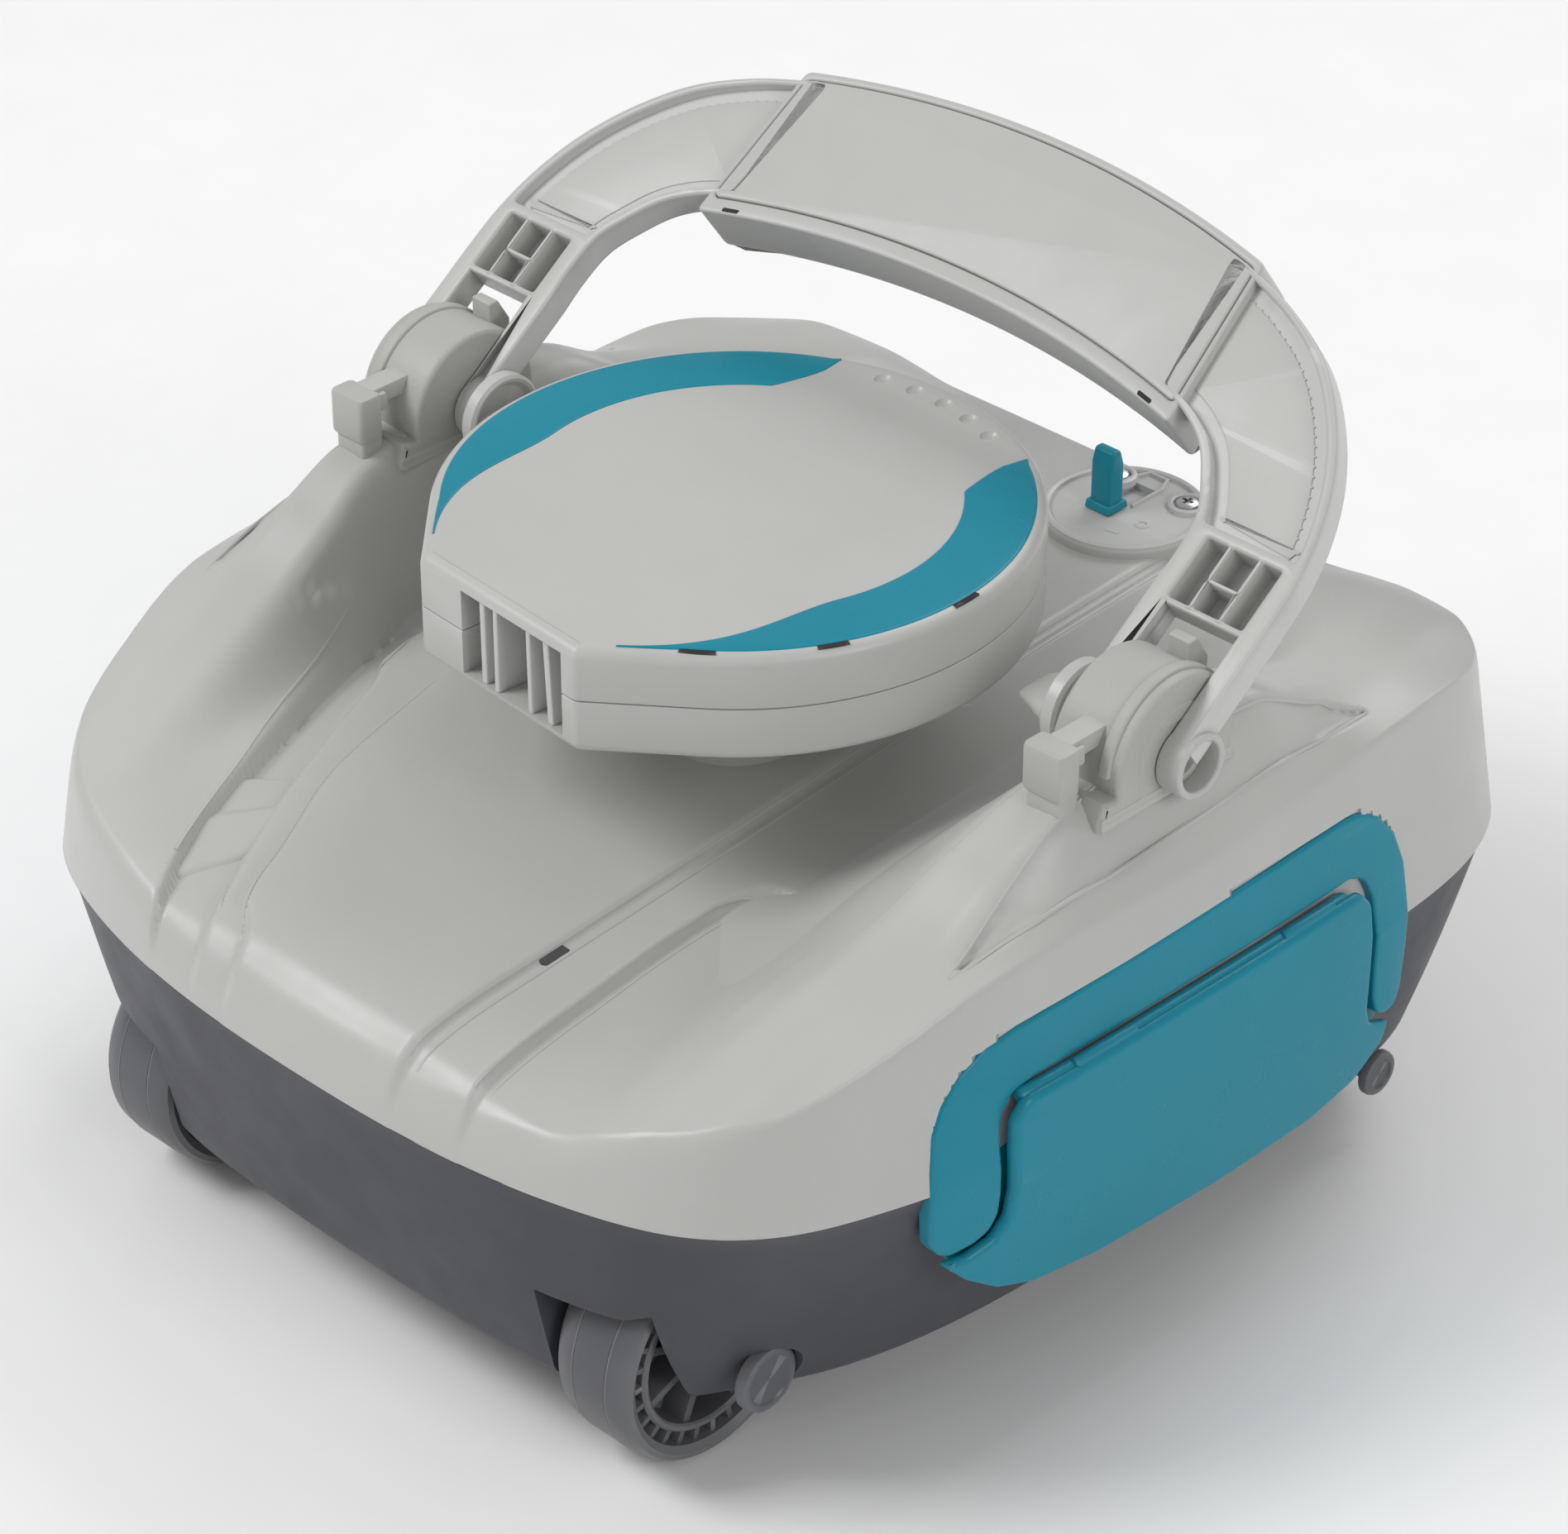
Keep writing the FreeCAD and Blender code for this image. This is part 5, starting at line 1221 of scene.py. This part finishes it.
def turret_ring():
    """Neck under the drum, flared on to the deck, with the hood over the pump below it."""
    profile = [(17.1, 150.5), (17.1, 170.9), (17.7, 171.5), (20.0, 171.5), (21.0, 170.4), (21.0, 136),
               (21.5, 133.6), (23.0, 132.4), (23.2, 124.0), (34.2, 124.0), (35.0, 123.2), (35.0, 117.0),
               (40.6, 117.0), (41.0, 116.6), (41.0, 114.0), (32.4, 114.0), (32.4, 121.0), (19.0, 121.0),
               (19.0, 150.5)]
    return shifted(lathe(profile, 96), 0, DRUM_Y)


# ---------------------------------------------------------------- switch and screws

CUPS = ((12, 14), (-14, 12.5))


def pad():
    """Round switch pad: raised rim, two screw cups, lever slot, groove and generic marks."""
    body = plate(circle(PAD_R, 72), PAD_LOW, PAD_TOP, 0.3, 1.2, steps=4)
    body = points_of(cut(body, block(-9.0, -0.6, -6.8, 14.2, 139.0, 150.0, 0, 0)))
    rim = lathe([(PAD_R - 2.6, 142.8), (PAD_R - 2.2, 144.4), (PAD_R - 1.3, 144.8), (PAD_R - 0.4, 144.2),
                 (PAD_R - 0.1, 142.8)], 96)
    cups = []
    for x, y in CUPS:
        cup = lathe([(4.3, 142.8), (4.3, 144.6), (4.9, 145.0), (5.9, 144.6), (6.3, 142.8)], 40)
        cups.append(shifted(cup, x, y))
    rail = [(-10.9, 2), (-10.9, 15.4), (-8.4, 21.2), (-1.2, 21.2), (1.3, 15.4), (1.3, 2), (0.2, 2), (0.2, 15),
            (-1.8, 20), (-7.8, 20), (-9.8, 15), (-9.8, 2)]
    groove = plate(rounded(rail, 0.5, 3), 142.9, 144.4, 0, 0.3)
    bar = rounded([(3.2, -13.5), (8.2, -12.4), (8.0, -11.5), (3.0, -12.6)], 0.4, 2)
    bar = plate(bar, 143.2, 143.75, 0, 0.2)
    ring = lathe([(1.5, 143.2), (1.5, 143.65), (1.8, 143.8), (2.1, 143.65), (2.1, 143.2)], 24)
    ring = shifted(ring, 9.5, -3.5)
    return shifted(joined(body, rim, *cups, groove, bar, ring), PAD_X, PAD_Y)


def lever():
    """Flat paddle lever with a chamfered side and a broad root."""
    side = [(134.9, 140.0), (141.1, 140.0), (141.1, 158.6), (139.6, 163.4), (136.4, 163.4), (135.0, 159.0)]
    paddle = plate(rounded(side, [0.4, 0.4, 2.0, 1.6, 1.6, 2.0], 4), 4.3, 12.1, 1.0, 1.0, steps=4)
    root = plate(rounded([(133.4, 143.6), (142.6, 143.6), (141.9, 146.2), (134.2, 146.2)], 0.6, 3),
                 3.6, 12.8, 0.5, 0.5)
    return along_x(joined(paddle, root))


def screw_head(r, height):
    """Pan head with a cross recess, standing on height 0."""
    dome = [(0.01, -0.4), (r * 0.96, -0.4), (r, 0.0), (r, height * 0.45), (r * 0.93, height * 0.75),
            (r * 0.75, height * 0.92), (r * 0.45, height), (0.01, height)]
    head = lathe(dome, 36, closed=False)
    a, w = r * 0.55, r * 0.14
    cross = [(-a, -w), (-w, -w), (-w, -a), (w, -a), (w, -w), (a, -w),
             (a, w), (w, w), (w, a), (-w, a), (-w, w), (-a, w)]
    return points_of(cut(head, plate(cross, height * 0.35, height + 1)))


def deck_screws():
    """Two pan-head screws in the switch pad's cups."""
    head = screw_head(3.6, 2.2)
    return joined(*[shifted(head, PAD_X + x, PAD_Y + y, PAD_TOP - 0.2) for x, y in CUPS])


# ---------------------------------------------------------------- assembly

def build_hull():
    """The two housings and what is fixed to them in the middle."""
    piece("top_housing", upper_shell(), "hull", "shell_grey", ["upper_shell"], angle=60)
    piece("lower_housing", base_tray(), "hull", "base_grey", ["base_tray"])
    # The drain slot is a dark inlay of painted shade, not an opening.
    piece("channel_slot", channel_slot(), "hull", "seal_rubber", look="gap_dark")
    piece("drum_pedestal", turret_ring(), "hull", "shell_grey", ["turret_ring"])
    piece("pivot_tubes", twins(pin()), "hull", "hub_grey", ["pivot_pins"], look="shell_grey")
    piece("switch_pad", pad(), "hull", "shell_grey", ["switch_cover"])
    piece("pad_screws", deck_screws(), "hull", "steel", ["deck_screws"])
    piece("switch_paddle", lever(), "switch", "accent_teal", ["switch_lever"])


def build_drum():
    """The steerable drum with its covers and vanes."""
    top = piece("drum_top", turret_upper(), "turret", "shell_grey", ["turret_upper"])
    top.data.transform(Matrix.Translation((0, DRUM_Y * MM, 0)) @ Matrix.Rotation(DRUM_YAW, 4, "Z"))
    piece("drum_base", in_drum(turret_lower()), "turret", "shell_grey", ["turret_lower"])
    right = crescent()
    piece("crescent_right", in_drum(right), "turret", "accent_teal", ["turret_insert_right"])
    piece("crescent_left", in_drum(flipped(right)), "turret", "accent_teal", ["turret_insert_left"])
    piece("outlet_vanes", in_drum(vanes()), "turret", "shell_grey", ["nozzle_vanes"])
    # The clip openings are dark inlays of painted shade.
    piece("crescent_clips", in_drum(clip_windows()), "turret", "seal_rubber", look="gap_dark")


def build_handle():
    """The float handle."""
    piece("handle_arms", in_handle(twins(arm())), "handle", "shell_grey", ["handle_frame"])
    piece("float_grip", in_handle(grip_shell()), "handle", "shell_grey", ["grip_shell"])
    piece("grip_panel", in_handle(grip_cover()), "handle", "shell_grey", ["grip_cover"])
    # The grip's slots are dark inlays of painted shade.
    piece("grip_slots", in_handle(grip_details()), "handle", "seal_rubber", look="gap_dark")


def build_axles():
    """The four wheel axles with their caps."""
    pins = [axle(73, 121.2, 125, 5.0, 10.0, *FRONT_WHEEL[1:3]),
            axle(97, 139, 142, 3.5, 7.0, *REAR_WHEEL[1:3])]
    piece("axles", twins(joined(*pins)), "hull", "wheel_grey", ["axle_pins"])


def build_side(side):
    """What each flank has: hub, lock, knob, flap and wheels."""
    def own(part):
        return flipped(part) if side == "left" else part

    piece(f"hub_{side}", own(hub()), "hull", "hub_grey", [f"handle_bracket_{side}"])
    piece(f"lock_{side}", own(lock()), f"lock_{side}", "hub_grey", [f"handle_lock_{side}"])
    piece(f"knob_{side}", own(knob()), f"knob_{side}", "shell_grey", [f"pivot_knob_{side}"])
    piece(f"flank_frame_{side}", own(side_frame()), "hull", "accent_teal", [f"side_frame_{side}"])
    piece(f"flap_rod_{side}", own(latch_rod()), "hull", "steel", ["latch_pins"] if side == "right" else [])
    piece(f"flank_flap_{side}", own(side_latch()), f"latch_{side}", "accent_teal", [f"side_latch_{side}"])
    for end, (x, y, r, half), spokes, notches in (("front", FRONT_WHEEL, 8, 28), ("rear", REAR_WHEEL, 6, 20)):
        part = shifted(along_x_at(wheel(r, half, spokes, notches), y, r), x, 0)
        name = f"{end}_wheel_{side}"
        piece(f"{end}_roller_{side}", own(part), name, "wheel_grey", [name])


# ---------------------------------------------------------------- stage, light and camera

def stage():
    """Pale floor, soft studio lights and a white surround."""
    bpy.context.scene.view_settings.view_transform = "Standard"
    size = 6.0
    mesh = bpy.data.meshes.new("floor")
    mesh.from_pydata([(x, y, 0) for x, y in box(-size, size, -size, size)], [], [(0, 1, 2, 3)])
    floor = placed("floor", mesh)
    mat = plastic("floor_paint", (0.92, 0.92, 0.92), 0.75, 120, 0.02, tint=0.01, edge_wear_and_highlight=0.0)
    mesh.materials.append(mat)
    world = bpy.data.worlds.new("studio")
    bpy.context.scene.world = world
    world.use_nodes = True
    tune(world.node_tree.nodes["Background"], color=(1, 1, 1, 1), strength=0.42)
    for name, place, wide, power in (("key", (-1.1, -1.3, 1.9), 1.0, 32), ("fill", (2.1, -0.2, 1.2), 1.0, 13),
                                     ("back", (-0.2, 1.7, 1.7), 1.3, 16)):
        data = bpy.data.lights.new(name, "AREA")
        data.size = wide
        data.energy = power
        lamp = placed(name, data)
        lamp.location = place
        lamp.rotation_mode = "QUATERNION"
        lamp.rotation_quaternion = (Vector((0, 0, 0.12)) - Vector(place)).to_track_quat("-Z", "Y")


def camera():
    """Long lens, from ahead, the right and above."""
    data = bpy.data.cameras.new("camera")
    data.lens = 119.5
    data.sensor_width = 36.0
    data.clip_end = 30.0
    cam = placed("camera", data)
    cam.location = (0.8634, -0.8705, 0.9108)
    cam.rotation_mode = "QUATERNION"
    cam.rotation_quaternion = (-Vector((0.5863, -0.5990, 0.5454))).to_track_quat("-Z", "Y")
    bpy.context.scene.camera = cam


camera()
dress_cad()
build_hull()
build_drum()
build_handle()
build_axles()
for flank in ("right", "left"):
    build_side(flank)
stage()
